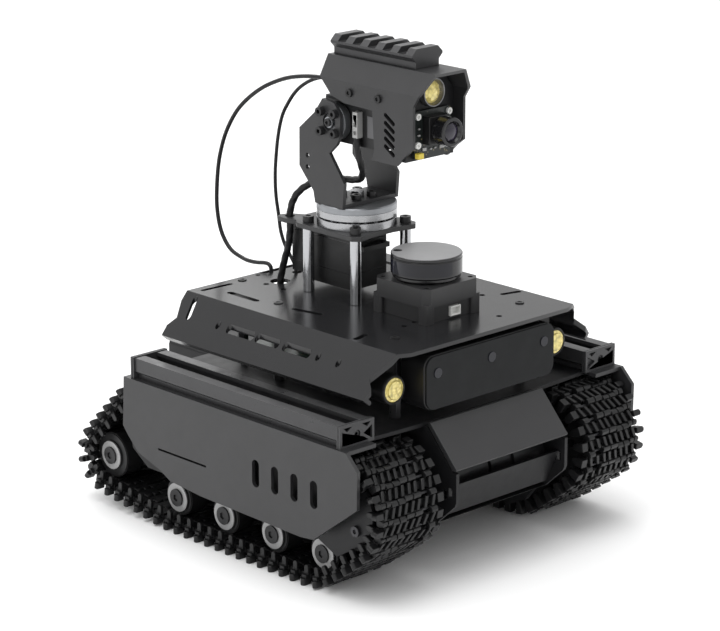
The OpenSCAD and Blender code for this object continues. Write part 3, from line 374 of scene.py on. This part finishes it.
def smooth_by_angle(mesh, degrees):
    """Smooth faces, with the edges sharper than the angle kept sharp."""
    mesh.polygons.foreach_set("use_smooth", [True] * len(mesh.polygons))
    mesh.set_sharp_from_angle(angle=math.radians(degrees))


def add_prism(bm, outline, axis, start, end):
    """Extrudes a flat outline along an axis: (Y, Z) for x, (X, Z) for y and (X, Y) for z, in metres."""
    spots = {
        "x": lambda p, at: (at, p[0], p[1]),
        "y": lambda p, at: (p[0], at, p[1]),
        "z": lambda p, at: (p[0], p[1], at),
    }[axis]
    low = [bm.verts.new(spots(p, start)) for p in outline]
    high = [bm.verts.new(spots(p, end)) for p in outline]
    count = len(outline)
    faces = [bm.faces.new(low[::-1]), bm.faces.new(high)]
    for k in range(count):
        n = (k + 1) % count
        faces.append(bm.faces.new((low[k], low[n], high[n], high[k])))
    bmesh.ops.recalc_face_normals(bm, faces=faces)


def add_box(bm, x0, x1, y0, y1, z0, z1):
    add_prism(bm, [(x0, y0), (x1, y0), (x1, y1), (x0, y1)], "z", z0, z1)


def circle_points(y, z, radius, count, start=0.0, sweep=360.0):
    last = count if sweep == 360.0 else count - 1
    angles = [math.radians(start + sweep * k / last) for k in range(count)]
    return [(y + radius * math.cos(a), z + radius * math.sin(a)) for a in angles]


def add_lathe(bm, profile, centre, axis="z", segments=64, start=0.0, sweep=360.0):
    """Turns a profile of (radius, height) round an axis through centre."""
    closed = sweep == 360.0
    count = segments if closed else segments + 1
    rings = []
    for k in range(count):
        a = math.radians(start + sweep * k / segments)
        ring = []
        for radius, height in profile:
            u, v = radius * math.cos(a), radius * math.sin(a)
            spot = {"z": (u, v, height), "y": (u, height, v), "x": (height, u, v)}[axis]
            ring.append(bm.verts.new(Vector(centre) + Vector(spot)))
        rings.append(ring)
    steps = len(profile)
    for k in range(segments):
        a, b = rings[k], rings[(k + 1) % count]
        for i in range(steps - 1):
            bm.faces.new((a[i], b[i], b[i + 1], a[i + 1]))
    bmesh.ops.remove_doubles(bm, verts=bm.verts, dist=LATHE_WELD)
    bmesh.ops.recalc_face_normals(bm, faces=bm.faces)


def bevel_sharp(bm, width, degrees=30.0):
    edges = [e for e in bm.edges if len(e.link_faces) == 2 and e.calc_face_angle(0) > math.radians(degrees)]
    bmesh.ops.bevel(bm, geom=edges, offset=width, segments=1, affect="EDGES", clamp_overlap=True)


def islands(bm):
    """Groups of joined faces."""
    seen, groups = set(), []
    for face in bm.faces:
        if face.index in seen:
            continue
        seen.add(face.index)
        stack, group = [face], []
        while stack:
            current = stack.pop()
            group.append(current)
            for edge in current.edges:
                for other in edge.link_faces:
                    if other.index not in seen:
                        seen.add(other.index)
                        stack.append(other)
        groups.append(group)
    return groups


def refine(node, kinds, choose=None):
    """Stands a detailed copy in for a CAD node: welded, its flat faces made whole and its edges rounded.
    kinds gives (piece name, material, slot, edge radius in mm) for each key that choose returns,
    from a face's centre and the lowest and highest corner of its island, in mm. The slot is not used."""
    source = NODES[node]
    body = source["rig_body"]
    bm = bmesh.new()
    bm.from_mesh(source.data)
    bmesh.ops.remove_doubles(bm, verts=bm.verts, dist=CAD_WELD)
    bm.faces.ensure_lookup_table()
    bm.faces.index_update()
    layer = bm.faces.layers.int.new("kind")
    keys = list(kinds)
    for group in islands(bm):
        spots = [v.co for f in group for v in f.verts]
        low = Vector([min(p[i] for p in spots) for i in range(3)]) / MM
        high = Vector([max(p[i] for p in spots) for i in range(3)]) / MM
        for face in group:
            key = choose(face.calc_center_median() / MM, low, high) if choose else keys[0]
            face[layer] = keys.index(key)
    for index, key in enumerate(keys):
        name, material, slot, radius = kinds[key]
        part = bm.copy()
        own = part.faces.layers.int["kind"]
        bmesh.ops.delete(part, geom=[f for f in part.faces if f[own] != index], context="FACES")
        if not part.faces:
            part.free()
            continue
        bmesh.ops.dissolve_limit(
            part,
            angle_limit=math.radians(PLANE_TURN),
            verts=part.verts,
            edges=part.edges,
            use_dissolve_boundaries=False,
        )
        part.normal_update()
        for face in part.faces:
            turns = [e.calc_face_angle(0) for e in face.edges if len(e.link_faces) == 2]
            face.smooth = any(math.radians(FLAT_TURN) < turn < math.radians(CURVE_TURN) for turn in turns)
        curved = [face.smooth for face in part.faces]
        mesh = mesh_of(name, part)
        mesh.set_sharp_from_angle(angle=math.radians(CURVE_TURN))
        mesh.polygons.foreach_set("use_smooth", curved)
        # The CAD file's own normals don't fit the joined faces
        if "custom_normal" in mesh.attributes:
            mesh.attributes.remove(mesh.attributes["custom_normal"])
        piece = new_piece(name, mesh, material, body, [node])
        if radius:
            for edge in mesh.edges:
                edge.use_edge_sharp = False
            bevel = piece.modifiers.new("edge_radius", "BEVEL")
            bevel.width = radius * MM
            bevel.segments = 2
            bevel.limit_method = "ANGLE"
            bevel.angle_limit = math.radians(BEVEL_TURN)
            bevel.harden_normals = True
            bevel.use_clamp_overlap = True
            bevel.miter_outer = "MITER_ARC"
    bm.free()


# ---------------------------------------------------------------- cables
def spline(points, steps):
    """Catmull-Rom curve through the points."""
    p = [Vector(q) for q in points]
    p = [p[0] * 2 - p[1], *p, p[-1] * 2 - p[-2]]
    line = []
    for i in range(1, len(p) - 2):
        a, b, c, d = p[i - 1:i + 3]
        for k in range(steps):
            t = k / steps
            line.append(0.5 * (
                b * 2 + (c - a) * t + (a * 2 - b * 5 + c * 4 - d) * t * t + (b * 3 - a - c * 3 + d) * t ** 3
            ))
    line.append(p[-2].copy())
    return line


# Length of one turn of a twisted bundle, in metres
WIRE_LAY = 0.006


def tube_mesh(name, line, radius, sides, lobes):
    """Closed tube along a line. With lobes it is a bundle of twisted wires, one turn in each WIRE_LAY."""
    bm = bmesh.new()
    rings = []
    along = 0.0
    normal = None
    for i, centre in enumerate(line):
        tangent = (line[min(i + 1, len(line) - 1)] - line[max(i - 1, 0)]).normalized()
        if normal is None:
            normal = tangent.orthogonal().normalized()
        else:
            normal = (normal - tangent * normal.dot(tangent)).normalized()
            along += (centre - line[i - 1]).length
        side = tangent.cross(normal)
        ring = []
        for k in range(sides):
            a = 2 * math.pi * k / sides
            r = radius
            if lobes:
                r *= 0.84 + 0.16 * abs(math.cos(lobes / 2 * a - math.pi * along / WIRE_LAY))
            ring.append(bm.verts.new(centre + (normal * math.cos(a) + side * math.sin(a)) * r))
        rings.append(ring)
    for a, b in zip(rings, rings[1:]):
        for k in range(sides):
            bm.faces.new((a[k], a[(k + 1) % sides], b[(k + 1) % sides], b[k]))
    bm.faces.new(rings[0][::-1])
    bm.faces.new(rings[-1])
    bmesh.ops.recalc_face_normals(bm, faces=bm.faces)
    mesh = mesh_of(name, bm)
    smooth_by_angle(mesh, 50)
    return mesh


def cable(name, route, split, radius, nodes, sides=14, lobes=0):
    """A cable in two pieces, a lower and an upper.
    They meet at point number split of the route, and stand in for the two nodes. Radius is in mm."""
    steps = 8 if lobes else 4
    points = [Vector(p) * MM for p in route]
    line = spline(points, steps)
    cut = split * steps
    parts = (
        ("lower", line[:cut + 1], "chassis", "pan_base"),
        ("upper", line[cut:], "pan_base", "camera_head"),
    )
    for (part, path, first, second), node in zip(parts, nodes):
        title = f"{name}_{part}"
        mesh = tube_mesh(title, path, radius * MM, sides, lobes)
        piece = new_piece(title, mesh, JACKET, None, [node])
        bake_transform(piece)


USB_ROUTE = [
    (-6, 49, 88.5), (-6, 53, 88.8), (-6, 57, 91.6), (-6, 58.6, 97), (-6, 58.6, 107), (-6, 58.7, 117.6),
    (-6, 60, 120.8), (-6, 63.5, 121.4), (-6, 70, 120.4), (-6, 77, 120), (-5, 84, 120.4), (-5, 91, 122.4),
    (-5, 96, 126.2), (-5, 100, 132), (-5, 102.4, 140), (-5, 103.2, 150), (-4, 102.9, 165), (-4, 100.2, 176),
    (-4, 95.5, 187), (-4, 88, 198), (-4, 79, 206.5), (-4, 67, 214.5), (-3, 56, 219.8), (-3, 45, 223.4),
    (-3, 33, 225.7), (-3, 21, 226.8), (-3, 9, 227.2), (-3, 4, 227.2), (-3, 0, 227.2),
]
CAMERA_ROUTE = [
    (2, 47.5, 92), (2, 47.5, 98), (2, 47.5, 107), (2, 47.6, 116), (2, 49.4, 122), (2, 53, 126.6),
    (2, 57, 131.6), (2, 60, 138.4), (3, 62.5, 146), (3, 64.4, 156), (3, 64.9, 166), (3, 64.2, 176),
    (3, 62.2, 189), (3, 58.7, 200.4), (4, 54.4, 208.4), (4, 49.5, 214), (4, 43.6, 218.6), (4, 36, 222.5),
    (4, 26, 225.4), (4, 14, 226.8), (4, 5, 227), (4, 0, 227),
]
SERVO_ROUTE = [
    (-16, 41, 92), (-16, 41, 98), (-16, 40.8, 108), (-16, 40.4, 118), (-15.8, 38, 128), (-15.5, 34.4, 139),
    (-15.5, 33, 149), (-15.5, 33, 156), (-15, 31, 163), (-14, 27, 168.5), (-12, 21, 173), (-8, 14, 176),
    (-5, 6, 177), (-5, -3, 178), (-7, -11, 180.5), (-10, -15.6, 185.5), (-13, -16.8, 191.5),
    (-14.6, -16.6, 198), (-14.6, -16.6, 203.4),
]
THIN_NODES = ("head_cables_lower", "head_cables_upper")
LEAD_NODES = ("servo_lead_lower", "servo_lead_upper")
cable("usb_cable", USB_ROUTE, 23, 1.1, THIN_NODES)
cable("camera_cable", CAMERA_ROUTE, 16, 0.95, THIN_NODES)
cable("servo_wires", SERVO_ROUTE, 10, 1.9, LEAD_NODES, sides=18, lobes=3)


# ---------------------------------------------------------------- tracks
# Belt loop: centre Y, centre Z and grouser-tip radius of each wheel, in mm
LOOP = [(-86.0, 45.0, 28.8), (-67.6, 16.0, 16.0), (42.5, 16.0, 16.0), (96.4, 25.4, 18.2), (67.2, 59.8, 14.0)]
# Distances from the pin line: grouser tips, outside of the plate, and running surface of the wheels
TREAD_OUT = 3.7
PLATE_OUT = 1.2
TREAD_IN = 1.5
# Inner and outer edge of the plate
TREAD_X = (54.5, 91)
PITCH = 8.1


def belt_pins():
    """Points of the pin line, one for each link, as (Y, Z) in mm."""
    radius = [w[2] - TREAD_OUT for w in LOOP]
    count = len(LOOP)
    leave, run = [], []
    for i in range(count):
        j = (i + 1) % count
        dy, dz = LOOP[j][0] - LOOP[i][0], LOOP[j][1] - LOOP[i][1]
        step = math.hypot(dy, dz)
        leave.append(math.atan2(dz, dy) - math.acos((radius[i] - radius[j]) / step))
        run.append(math.sqrt(step ** 2 - (radius[i] - radius[j]) ** 2))
    arc = [radius[i] * ((leave[i] - leave[i - 1]) % (2 * math.pi)) for i in range(count)]
    total = sum(arc) + sum(run)
    number = round(total / PITCH)
    pins = []
    for k in range(number):
        s = total * k / number
        i = 0
        while s >= arc[i] + run[i]:
            s -= arc[i] + run[i]
            i += 1
        y, z, r = LOOP[i][0], LOOP[i][1], radius[i]
        if s < arc[i]:
            a = leave[i - 1] + s / r
            pins.append((y + r * math.cos(a), z + r * math.sin(a)))
        else:
            a, t = leave[i], s - arc[i]
            pins.append((y + r * math.cos(a) - t * math.sin(a), z + r * math.sin(a) + t * math.cos(a)))
    return pins


def knuckle_outline(y, s):
    """Section of a pin block: rounded back, grouser bar with a step, and a cut edge on the side s."""
    return [
        (y - s * 1.6, TREAD_IN - 0.3), (y - s * 1.6, -2.3), (y - s * 1.05, -2.75), (y - s * 1.05, -TREAD_OUT),
        (y + s * 0.3, -TREAD_OUT), (y + s * 1.0, -3.1), (y + s * 1.6, -2.6), (y + s * 1.6, 0.6),
        (y + s * 1.0, TREAD_IN), (y - s * 1.2, TREAD_IN),
    ]


def link_mesh():
    """One link in mm: X across, Y along the travel, Z inwards, for the right track."""
    bm = bmesh.new()
    h = PITCH / 2
    web = h - 2.4
    inner, outer = TREAD_X
    add_box(bm, inner, outer, -web, web, -PLATE_OUT, TREAD_IN)
    for blocks, y, s in (
        ([(inner, 58.5), (75.6, 84.4)], -h, -1),
        ([(64.6, 75.3), (84.7, outer)], h, 1),
    ):
        for x0, x1 in blocks:
            # Two bars on a wide block, with a narrow groove between them
            middle = (x0 + x1) / 2
            pads = [(x0, x1)] if x1 - x0 < 5 else [(x0, middle - 0.35), (middle + 0.35, x1)]
            for a, b in pads:
                add_prism(bm, knuckle_outline(y, s), "x", a, b)
            low, high = sorted((y, 0))
            add_box(bm, x0 + 0.25, x1 - 0.25, low, high, -PLATE_OUT, TREAD_IN - 0.1)
    # Slanted ribs on the plate between the bars
    for x in (56.6, 61.6, 66.6, 70.6, 75.0, 79.2, 83.4, 88.2):
        rib = [(x - 1.7, -2.7), (x + 0.1, -2.7), (x + 1.7, 2.7), (x - 0.1, 2.7)]
        add_prism(bm, rib, "z", -3.15, -1.1)
    # Rounded foot outside the tread
    start, end, half = 90.5, 94.1, 1.6
    tip = circle_points(end, 0, half, 9, -90, 180)[1:-1]
    foot = [(start, -half), (end, -half), *tip, (end, half), (start, half)]
    add_prism(bm, foot, "z", -TREAD_OUT, -0.2)
    add_box(bm, start, end, -1.5, 1.5, -0.2, TREAD_IN)
    # Guide finger with a rounded top
    top = circle_points(0, 4.9, 1.4, 9, 0, 180)
    add_prism(bm, [(-1.4, 0), (1.4, 0), *top], "x", 90.6, 92.6)
    # Inner guide lump
    lump = [(-2.2, -2.9), (2.2, -2.9), (2, TREAD_IN), (1, 4), (-1, 4), (-2, TREAD_IN)]
    add_prism(bm, lump, "x", 49.6, 53.6)
    add_box(bm, 53, 55, -1.4, 1.4, -PLATE_OUT, TREAD_IN)
    bevel_sharp(bm, 0.2, 40)
    mesh = mesh_of("link", bm)
    verts = np.array([v.co for v in mesh.vertices])
    faces = [tuple(f.vertices) for f in mesh.polygons]
    bpy.data.meshes.remove(mesh)
    return verts, faces


def build_tracks():
    pins = belt_pins()
    count = len(pins)
    verts, faces = link_mesh()
    for side, name in ((-1, "left"), (1, "right")):
        points, polygons = [], []
        rods = bmesh.new()
        for k in range(count):
            (ya, za), (yb, zb) = pins[k], pins[(k + 1) % count]
            chord = math.hypot(yb - ya, zb - za)
            a = math.atan2(zb - za, yb - ya)
            y = verts[:, 1] * chord / PITCH
            z = verts[:, 2]
            placed = np.column_stack((
                verts[:, 0] * side,
                (ya + yb) / 2 + y * math.cos(a) - z * math.sin(a),
                (za + zb) / 2 + y * math.sin(a) + z * math.cos(a),
            ))
            start = k * len(verts)
            points.append(placed * MM)
            polygons += [tuple(start + i for i in (f if side > 0 else f[::-1])) for f in faces]
            rim = [(u * MM, v * MM) for u, v in circle_points(ya, za, 0.75, 12)]
            add_prism(rods, rim, "x", side * 54.7 * MM, side * 90.8 * MM)
        mesh = bpy.data.meshes.new(f"track_{name}")
        mesh.from_pydata(np.concatenate(points).tolist(), [], polygons)
        mesh.update()
        smooth_by_angle(mesh, 35)
        new_piece(f"track_{name}", mesh, TREAD, "chassis", ["track_links"])
        pin_mesh = mesh_of(f"track_pins_{name}", rods)
        smooth_by_angle(pin_mesh, 40)
        new_piece(f"track_pins_{name}", pin_mesh, NUT, "chassis", ["track_pins"])


build_tracks()


# ---------------------------------------------------------------- sheet metal, mouldings and machined parts
# Middles of round parts, in mm: head lamps, camera lens, spotlight, and the switch and jack in the rear sheet
LAMP_X, LAMP_Z = 57, 97.4
LENS_Z = 212.3
SPOT_Z = 230.3
PORT_X, PORT_Z = 22, 60
REAR_Y = 103


def lamp_part(c, low, high):
    """Lens or housing of a head lamp, by place in mm."""
    lens = math.hypot(abs(c.x) - LAMP_X, c.z - LAMP_Z) < 6.15 and c.y < -80.1
    return "lens" if lens else "house"


def servo_part(c, low, high):
    """Case, grey-white plug or label of the tilt servo, by place in mm."""
    if c.x > -12.51 or (c.x > -12.81 and not -29 < c.y < -14):
        return "case"
    return "label" if c.y < -21 else "plug"


def camera_part(c, low, high):
    """Board, camera block or yellow plug, by place in mm."""
    if c.y > -55.01:
        return "board"
    return "plug" if c.x < -8.3 else "module"


def rear_part(c, low, high):
    """Rear sheet or moulded switch and jack housings, by place in mm."""
    across, up = abs(c.x - PORT_X), abs(c.z - PORT_Z)
    depth = abs(c.y - REAR_Y)
    switch = across < 8.6 and up < 11.6 and c.y > 98
    jack = math.hypot(c.x + PORT_X, c.z - PORT_Z) < 7.1 and c.y > 93
    sheet = depth < 1.01 and not (across < 7.01 and up < 10.01)
    if jack and not depth < 0.9:
        return "moulded"
    return "moulded" if switch and not sheet else "sheet"


def circuit_part(c, low, high):
    """Boards or the parts on them, by place in mm."""
    main = 83.99 < c.z < 85.61 and not (abs(c.x) < 18.1 and -12.1 < c.y < 26.1 and c.z > 85.59)
    tray = 59.99 < c.z < 61.61 and c.y < -23.9
    return "board" if main or tray else "parts"


# Sheets given the darker sheet material below carry painted shade, not a darker finish
refine("side_panels", {"all": ("side_panel_sheets", SHEET, "black_sheet_metal", 0.35)})
refine("top_deck", {"all": ("deck_sheet", DECK, "black_sheet_metal", 0.35)})
refine("fender_plate", {"all": ("fender_sheet", SHADED_SHEET, "black_sheet_metal", 0.3)})
refine("nose_plate", {"all": ("nose_sheet", SHEET, "black_sheet_metal", 0.3)})
refine("hull_tub", {"all": ("hull_sheet", SHADED_SHEET, "black_sheet_metal", 0.3)})
refine("track_frame_plates", {"all": ("track_frame_sheets", SHADED_SHEET, "black_sheet_metal", 0.25)})
refine("mast_plate", {"all": ("mast_plate_sheet", SHEET, "black_sheet_metal", 0.3)})
refine("pan_bracket", {"all": ("pan_bracket_sheet", SHEET, "black_sheet_metal", 0.35)})
refine("head_shell", {"all": ("head_shell_sheet", SHEET, "black_sheet_metal", 0.35)})
refine("head_frame", {"all": ("head_frame_sheet", SHADED_SHEET, "black_sheet_metal", 0.2)})
refine("side_rails", {"all": ("rail_extrusions", RAIL, "black_sheet_metal", 0.25)})
refine("rail_end_caps", {"all": ("rail_caps", CAP, "black_plastic", 0.2)})
refine("accessory_rail", {"all": ("top_rail", RAIL, "black_sheet_metal", 0.3)})
refine("drive_bearings", {"all": ("drive_bearing_flanges", CAP, "black_plastic", 0.25)})
refine("pan_servo", {"all": ("pan_servo_case", PLASTIC, "black_plastic", 0.4)})
refine("mast_posts", {"all": ("mast_post_rods", STEEL, "bright_steel", 0.3)})
refine("pan_turntable", {"all": ("turntable_plate", ALLOY, "aluminium", 0.3)})
refine("bearing_upper_ring", {"all": ("bearing_ring_top", TURNED, "bright_steel", 0.3)})
refine("servo_horns", {"all": ("horn_discs", ALLOY, "aluminium", 0.2)})
refine("depth_camera_window", {
    "glass": ("depth_window_glass", WINDOW, "dark_glass", 0.3),
    "lens": ("depth_window_lenses", GLASS, "dark_glass", 0.15),
}, lambda c, low, high: "lens" if c.y < -96.81 else "glass")
refine("depth_camera_body", {
    "case": ("depth_camera_case", PLASTIC, "black_plastic", 0.8),
    "bracket": ("depth_camera_bracket", SHEET, "black_sheet_metal", 0.2),
}, lambda c, low, high: "bracket" if c.y > -79.29 else "case")
refine("headlamps", {
    "house": ("lamp_housings", PLASTIC, "black_plastic", 0.4),
    "lens": ("lamp_lenses", LAMP, "lamp_amber", 0.35),
}, lamp_part)
refine("lidar_base", {
    "case": ("lidar_case", HOUSING, "gloss_black", 0.5),
    "plug": ("lidar_socket", WHITE, "white_plastic", 0.12),
}, lambda c, low, high: "plug" if -1.51 < c.x < 5.51 and 119.29 < c.z < 124.31 and c.y < -65.49 else "case")
# The top of the cap takes the pale painted-light material, and its side is glossy black
refine("lidar_head", {
    "side": ("lidar_cap", GLOSS, "gloss_black", 0.25),
    "top": ("lidar_cap_top", LIT_CAP_TOP, "gloss_black", 0.0),
}, lambda c, low, high: "top" if c.z > 148.9 else "side")
refine("tilt_servo", {
    "case": ("tilt_servo_case", PLASTIC, "black_plastic", 0.35),
    "plug": ("tilt_servo_plug", PLUG, "white_plastic", 0.15),
    "label": ("tilt_servo_label", LABEL, "aluminium", 0.05),
}, servo_part)
refine("camera_board", {
    "board": ("camera_circuit", BOARD, "board_green", 0.1),
    "module": ("camera_module_block", PLASTIC, "black_plastic", 0.4),
    "plug": ("camera_board_plug", YELLOW, "lamp_amber", 0.15),
}, camera_part)
refine("camera_lens", {
    "barrel": ("camera_barrel", GLOSS, "gloss_black", 0.15),
    "glass": ("camera_front_glass", LENS, "dark_glass", 0.0),
}, lambda c, low, high: "glass" if -68.6 < c.y < -67.21 and math.hypot(c.x, c.z - LENS_Z) < 4.5 else "barrel")
refine("spotlight", {
    "cup": ("spot_reflector", CUP, "aluminium", 0.2),
    "led": ("spot_led", LAMP, "lamp_amber", 0.2),
}, lambda c, low, high: "led" if math.hypot(c.x, c.z - SPOT_Z) < 1.51 and -52.6 < c.y < -50.01 else "cup")
refine("head_screws", {
    "dark": ("head_side_screws", SCREW, "dark_screw", 0.12),
    "white": ("board_nylon_screws", WHITE, "white_plastic", 0.12),
}, lambda c, low, high: "white" if low.y < -50 else "dark")
refine("chassis_screws", {
    "dark": ("hull_screws", SCREW, "dark_screw", 0.12),
    "flange": ("flange_screws", NUT, "dark_screw", 0.12),
    "mast": ("mast_cap_screws", SCREW, "dark_screw", 0.2),
}, lambda c, low, high: "mast" if low.z > 140 else ("flange" if high.y < -70 and high.z < 60 else "dark"))
refine("bracket_screws", {
    "dark": ("bracket_cap_screws", SCREW, "dark_screw", 0.12),
    "nut": ("turntable_nut", TURNED, "bright_steel", 0.2),
}, lambda c, low, high: "nut" if high.x - low.x > 6.5 and low.z < 175 else "dark")
refine("bearing_lower_ring", {
    "ring": ("bearing_ring_base", TURNED, "bright_steel", 0.3),
    "ball": ("bearing_balls", STEEL, "bright_steel", 0.0),
}, lambda c, low, high: "ring" if high.x - low.x > 10 else "ball")
refine("hull_end_plates", {
    "sheet": ("hull_end_sheets", SHADED_SHEET, "black_sheet_metal", 0.25),
    "moulded": ("switch_and_jack_housings", PLASTIC, "black_plastic", 0.3),
}, rear_part)
refine("circuit_boards", {
    "board": ("main_circuits", GREEN, "board_green", 0.1),
    "parts": ("circuit_parts", PLASTIC, "black_plastic", 0.15),
}, circuit_part)
refine("power_switch", {"all": ("power_rocker_cap", PLASTIC, "black_plastic", 0.3)})
refine("standoffs", {"all": ("standoff_spacers", NUT, "bright_steel", 0.15)})
refine("battery_pack", {"all": ("battery_block", CELL, "battery_blue", 1.2)})

KEPT = {
    "wheel_axles": SCREW,
    "axle_washers": WASHER,
    "gear_motors": CAN,
    "sprocket_left": WHEEL,
    "sprocket_right": WHEEL,
    "idler_left": WHEEL,
    "idler_right": WHEEL,
    "return_roller_left": WHEEL,
    "return_roller_right": WHEEL,
}
KEPT.update({f"road_wheel_{side}_{n}": WHEEL for side in ("left", "right") for n in range(1, 5)})
for node, material in KEPT.items():
    if not NODES[node].material_slots:
        NODES[node].data.materials.append(material)
    for slot in NODES[node].material_slots:
        slot.material = material


# ---------------------------------------------------------------- small parts
def lidar_details():
    """Scanner window: a sleeve round the front left third of the cap, with a thin rim."""
    low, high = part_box("lidar_head")
    centre = (low + high) / 2
    centre.z = 0
    radius = (high.x - low.x) / 2
    bm = bmesh.new()
    profile = [
        (radius - 0.5 * MM, 139.6 * MM), (radius + 0.12 * MM, 139.9 * MM), (radius + 0.16 * MM, 143 * MM),
        (radius + 0.12 * MM, 146.3 * MM), (radius - 0.5 * MM, 146.6 * MM),
    ]
    add_lathe(bm, profile, centre, "z", segments=48, start=150, sweep=120)
    mesh = mesh_of("lidar_window", bm)
    smooth_by_angle(mesh, 40)
    new_piece("lidar_window", mesh, GLASS, "range_finder")


def board_details():
    """Small parts soldered to the camera board: centre X and Z, width and height of each, in mm."""
    bm = bmesh.new()
    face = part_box("camera_board")[1].y - 1.6 * MM
    for x, z, w, d in (
        (-9.8, 210, 1.6, 0.8), (-9.6, 213.2, 1.2, 0.8), (9.6, 212, 2.0, 1.2), (9.8, 208.4, 1.2, 0.7),
        (-6, 202.6, 2.4, 1.6), (-1.5, 202.2, 1.2, 0.8), (1.5, 202.4, 1.2, 0.8), (6.2, 202.3, 3.0, 1.5),
    ):
        left, right, foot, top = (v * MM for v in (x - w / 2, x + w / 2, z - d / 2, z + d / 2))
        add_box(bm, left, right, face - 0.7 * MM, face, foot, top)
    bevel_sharp(bm, 0.08 * MM)
    mesh = mesh_of("camera_board_parts", bm)
    new_piece("camera_board_parts", mesh, PLUG, "camera_head")


def servo_details():
    """Case seams of the pan and tilt servos."""
    for name, node, body in (
        ("pan_servo_seams", "pan_servo", "chassis"),
        ("tilt_servo_seams", "tilt_servo", "camera_head"),
    ):
        bm = bmesh.new()
        pad = 0.05 * MM
        if node == "pan_servo":
            x, y0, y1 = 12.4 * MM, -9.5 * MM, 34.9 * MM
            for z in (130.5, 146.8):
                add_box(bm, -x - pad, x + pad, y0 - pad, y1 + pad, z * MM, (z + 0.35) * MM)
        else:
            y0, y1 = -31.6 * MM, 8.6 * MM
            for at in (-6.4, 6.4):
                add_box(bm, at * MM, (at + 0.3) * MM, y0 - pad, y1 + pad, 198.55 * MM, 220.65 * MM)
        bevel_sharp(bm, 0.04 * MM)
        mesh = mesh_of(name, bm)
        new_piece(name, mesh, GLOSS, body)


def lamp_details():
    """A moulded ring round each lamp lens."""
    bm = bmesh.new()
    for side in (-1, 1):
        centre = (side * LAMP_X * MM, 0, LAMP_Z * MM)
        y = -86.2 * MM
        profile = [
            (6.2 * MM, y - 0.55 * MM), (6.6 * MM, y - 0.75 * MM), (7.2 * MM, y - 0.55 * MM),
            (7.4 * MM, y + 0.1 * MM), (6.2 * MM, y + 0.1 * MM), (6.2 * MM, y - 0.55 * MM),
        ]
        add_lathe(bm, profile, centre, "y", 40)
    mesh = mesh_of("lamp_rims", bm)
    smooth_by_angle(mesh, 40)
    new_piece("lamp_rims", mesh, PLASTIC, "chassis")


def spot_details():
    """Domed lens in the mouth of the spotlight."""
    centre = (0, 0, SPOT_Z * MM)
    dome = [(0.0, -55.9), (2.0, -55.8), (3.8, -55.4), (5.2, -54.7), (6.0, -53.9), (6.0, -53.2), (0.0, -53.0)]
    bm = bmesh.new()
    add_lathe(bm, [(r * MM, y * MM) for r, y in dome], centre, "y", 40)
    mesh = mesh_of("spot_lens", bm)
    smooth_by_angle(mesh, 45)
    new_piece("spot_lens", mesh, LAMP, "camera_head")


def horn_details():
    """A socket screw in the middle of each servo horn, seen through the bracket."""
    low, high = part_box("servo_horns")
    centre = (low + high) / 2
    centre.x = 0
    bm = bmesh.new()
    for face in (low.x, high.x):
        out = math.copysign(1.0, face) * MM
        profile = [
            (2.1 * MM, face - 0.3 * out), (2.1 * MM, face + 0.9 * out), (1.9 * MM, face + 1.1 * out),
            (1.0 * MM, face + 1.1 * out), (0.95 * MM, face + 0.4 * out), (0.0, face + 0.4 * out),
        ]
        add_lathe(bm, profile, centre, "x", 24)
    mesh = mesh_of("horn_centre_screws", bm)
    smooth_by_angle(mesh, 40)
    new_piece("horn_centre_screws", mesh, SCREW, "pan_base")


lidar_details()
board_details()
horn_details()
servo_details()
lamp_details()
spot_details()


# ---------------------------------------------------------------- floor and light
def make_stage():
    bm = bmesh.new()
    corners = [bm.verts.new(p) for p in ((-6, -6, 0), (6, -6, 0), (6, 6, 0), (-6, 6, 0))]
    bm.faces.new(corners)
    floor = bpy.data.objects.new("floor", mesh_of("floor", bm))
    g = Graph("pale_floor")
    colour = g.mix(g.noise(2.0), (0.93, 0.93, 0.93), (0.97, 0.97, 0.97))
    g.join(colour, g.shader.inputs["Base Color"])
    g.shader.inputs["Roughness"].default_value = 0.85
    g.shader.inputs["Specular IOR Level"].default_value = 0.1
    floor.data.materials.append(g.material)
    bpy.context.scene.collection.objects.link(floor)


def make_light(name, place, target, size, power):
    data = bpy.data.lights.new(name, "AREA")
    data.shape = "RECTANGLE"
    data.size, data.size_y = size
    data.energy = power
    light = bpy.data.objects.new(name, data)
    aim = Vector(target) - Vector(place)
    light.matrix_world = Matrix.Translation(place) @ aim.to_track_quat("-Z", "Y").to_matrix().to_4x4()
    bpy.context.scene.collection.objects.link(light)


def make_world():
    world = bpy.data.worlds.new("studio")
    world.use_nodes = True
    bpy.context.scene.view_settings.view_transform = "Standard"
    back = world.node_tree.nodes["Background"]
    back.inputs["Color"].default_value = (1, 1, 1, 1)
    back.inputs["Strength"].default_value = 0.85
    bpy.context.scene.world = world


make_stage()
make_world()
make_light("top_softbox", (-0.2, 0.1, 1.6), (0, 0, 0.1), (1.4, 1.4), 16)
make_light("left_softbox", (-1.5, -0.2, 0.9), (0, 0, 0.1), (1.0, 1.0), 2.5)
make_light("back_softbox", (0.5, 1.5, 1.1), (0, 0, 0.15), (1.4, 0.8), 8)
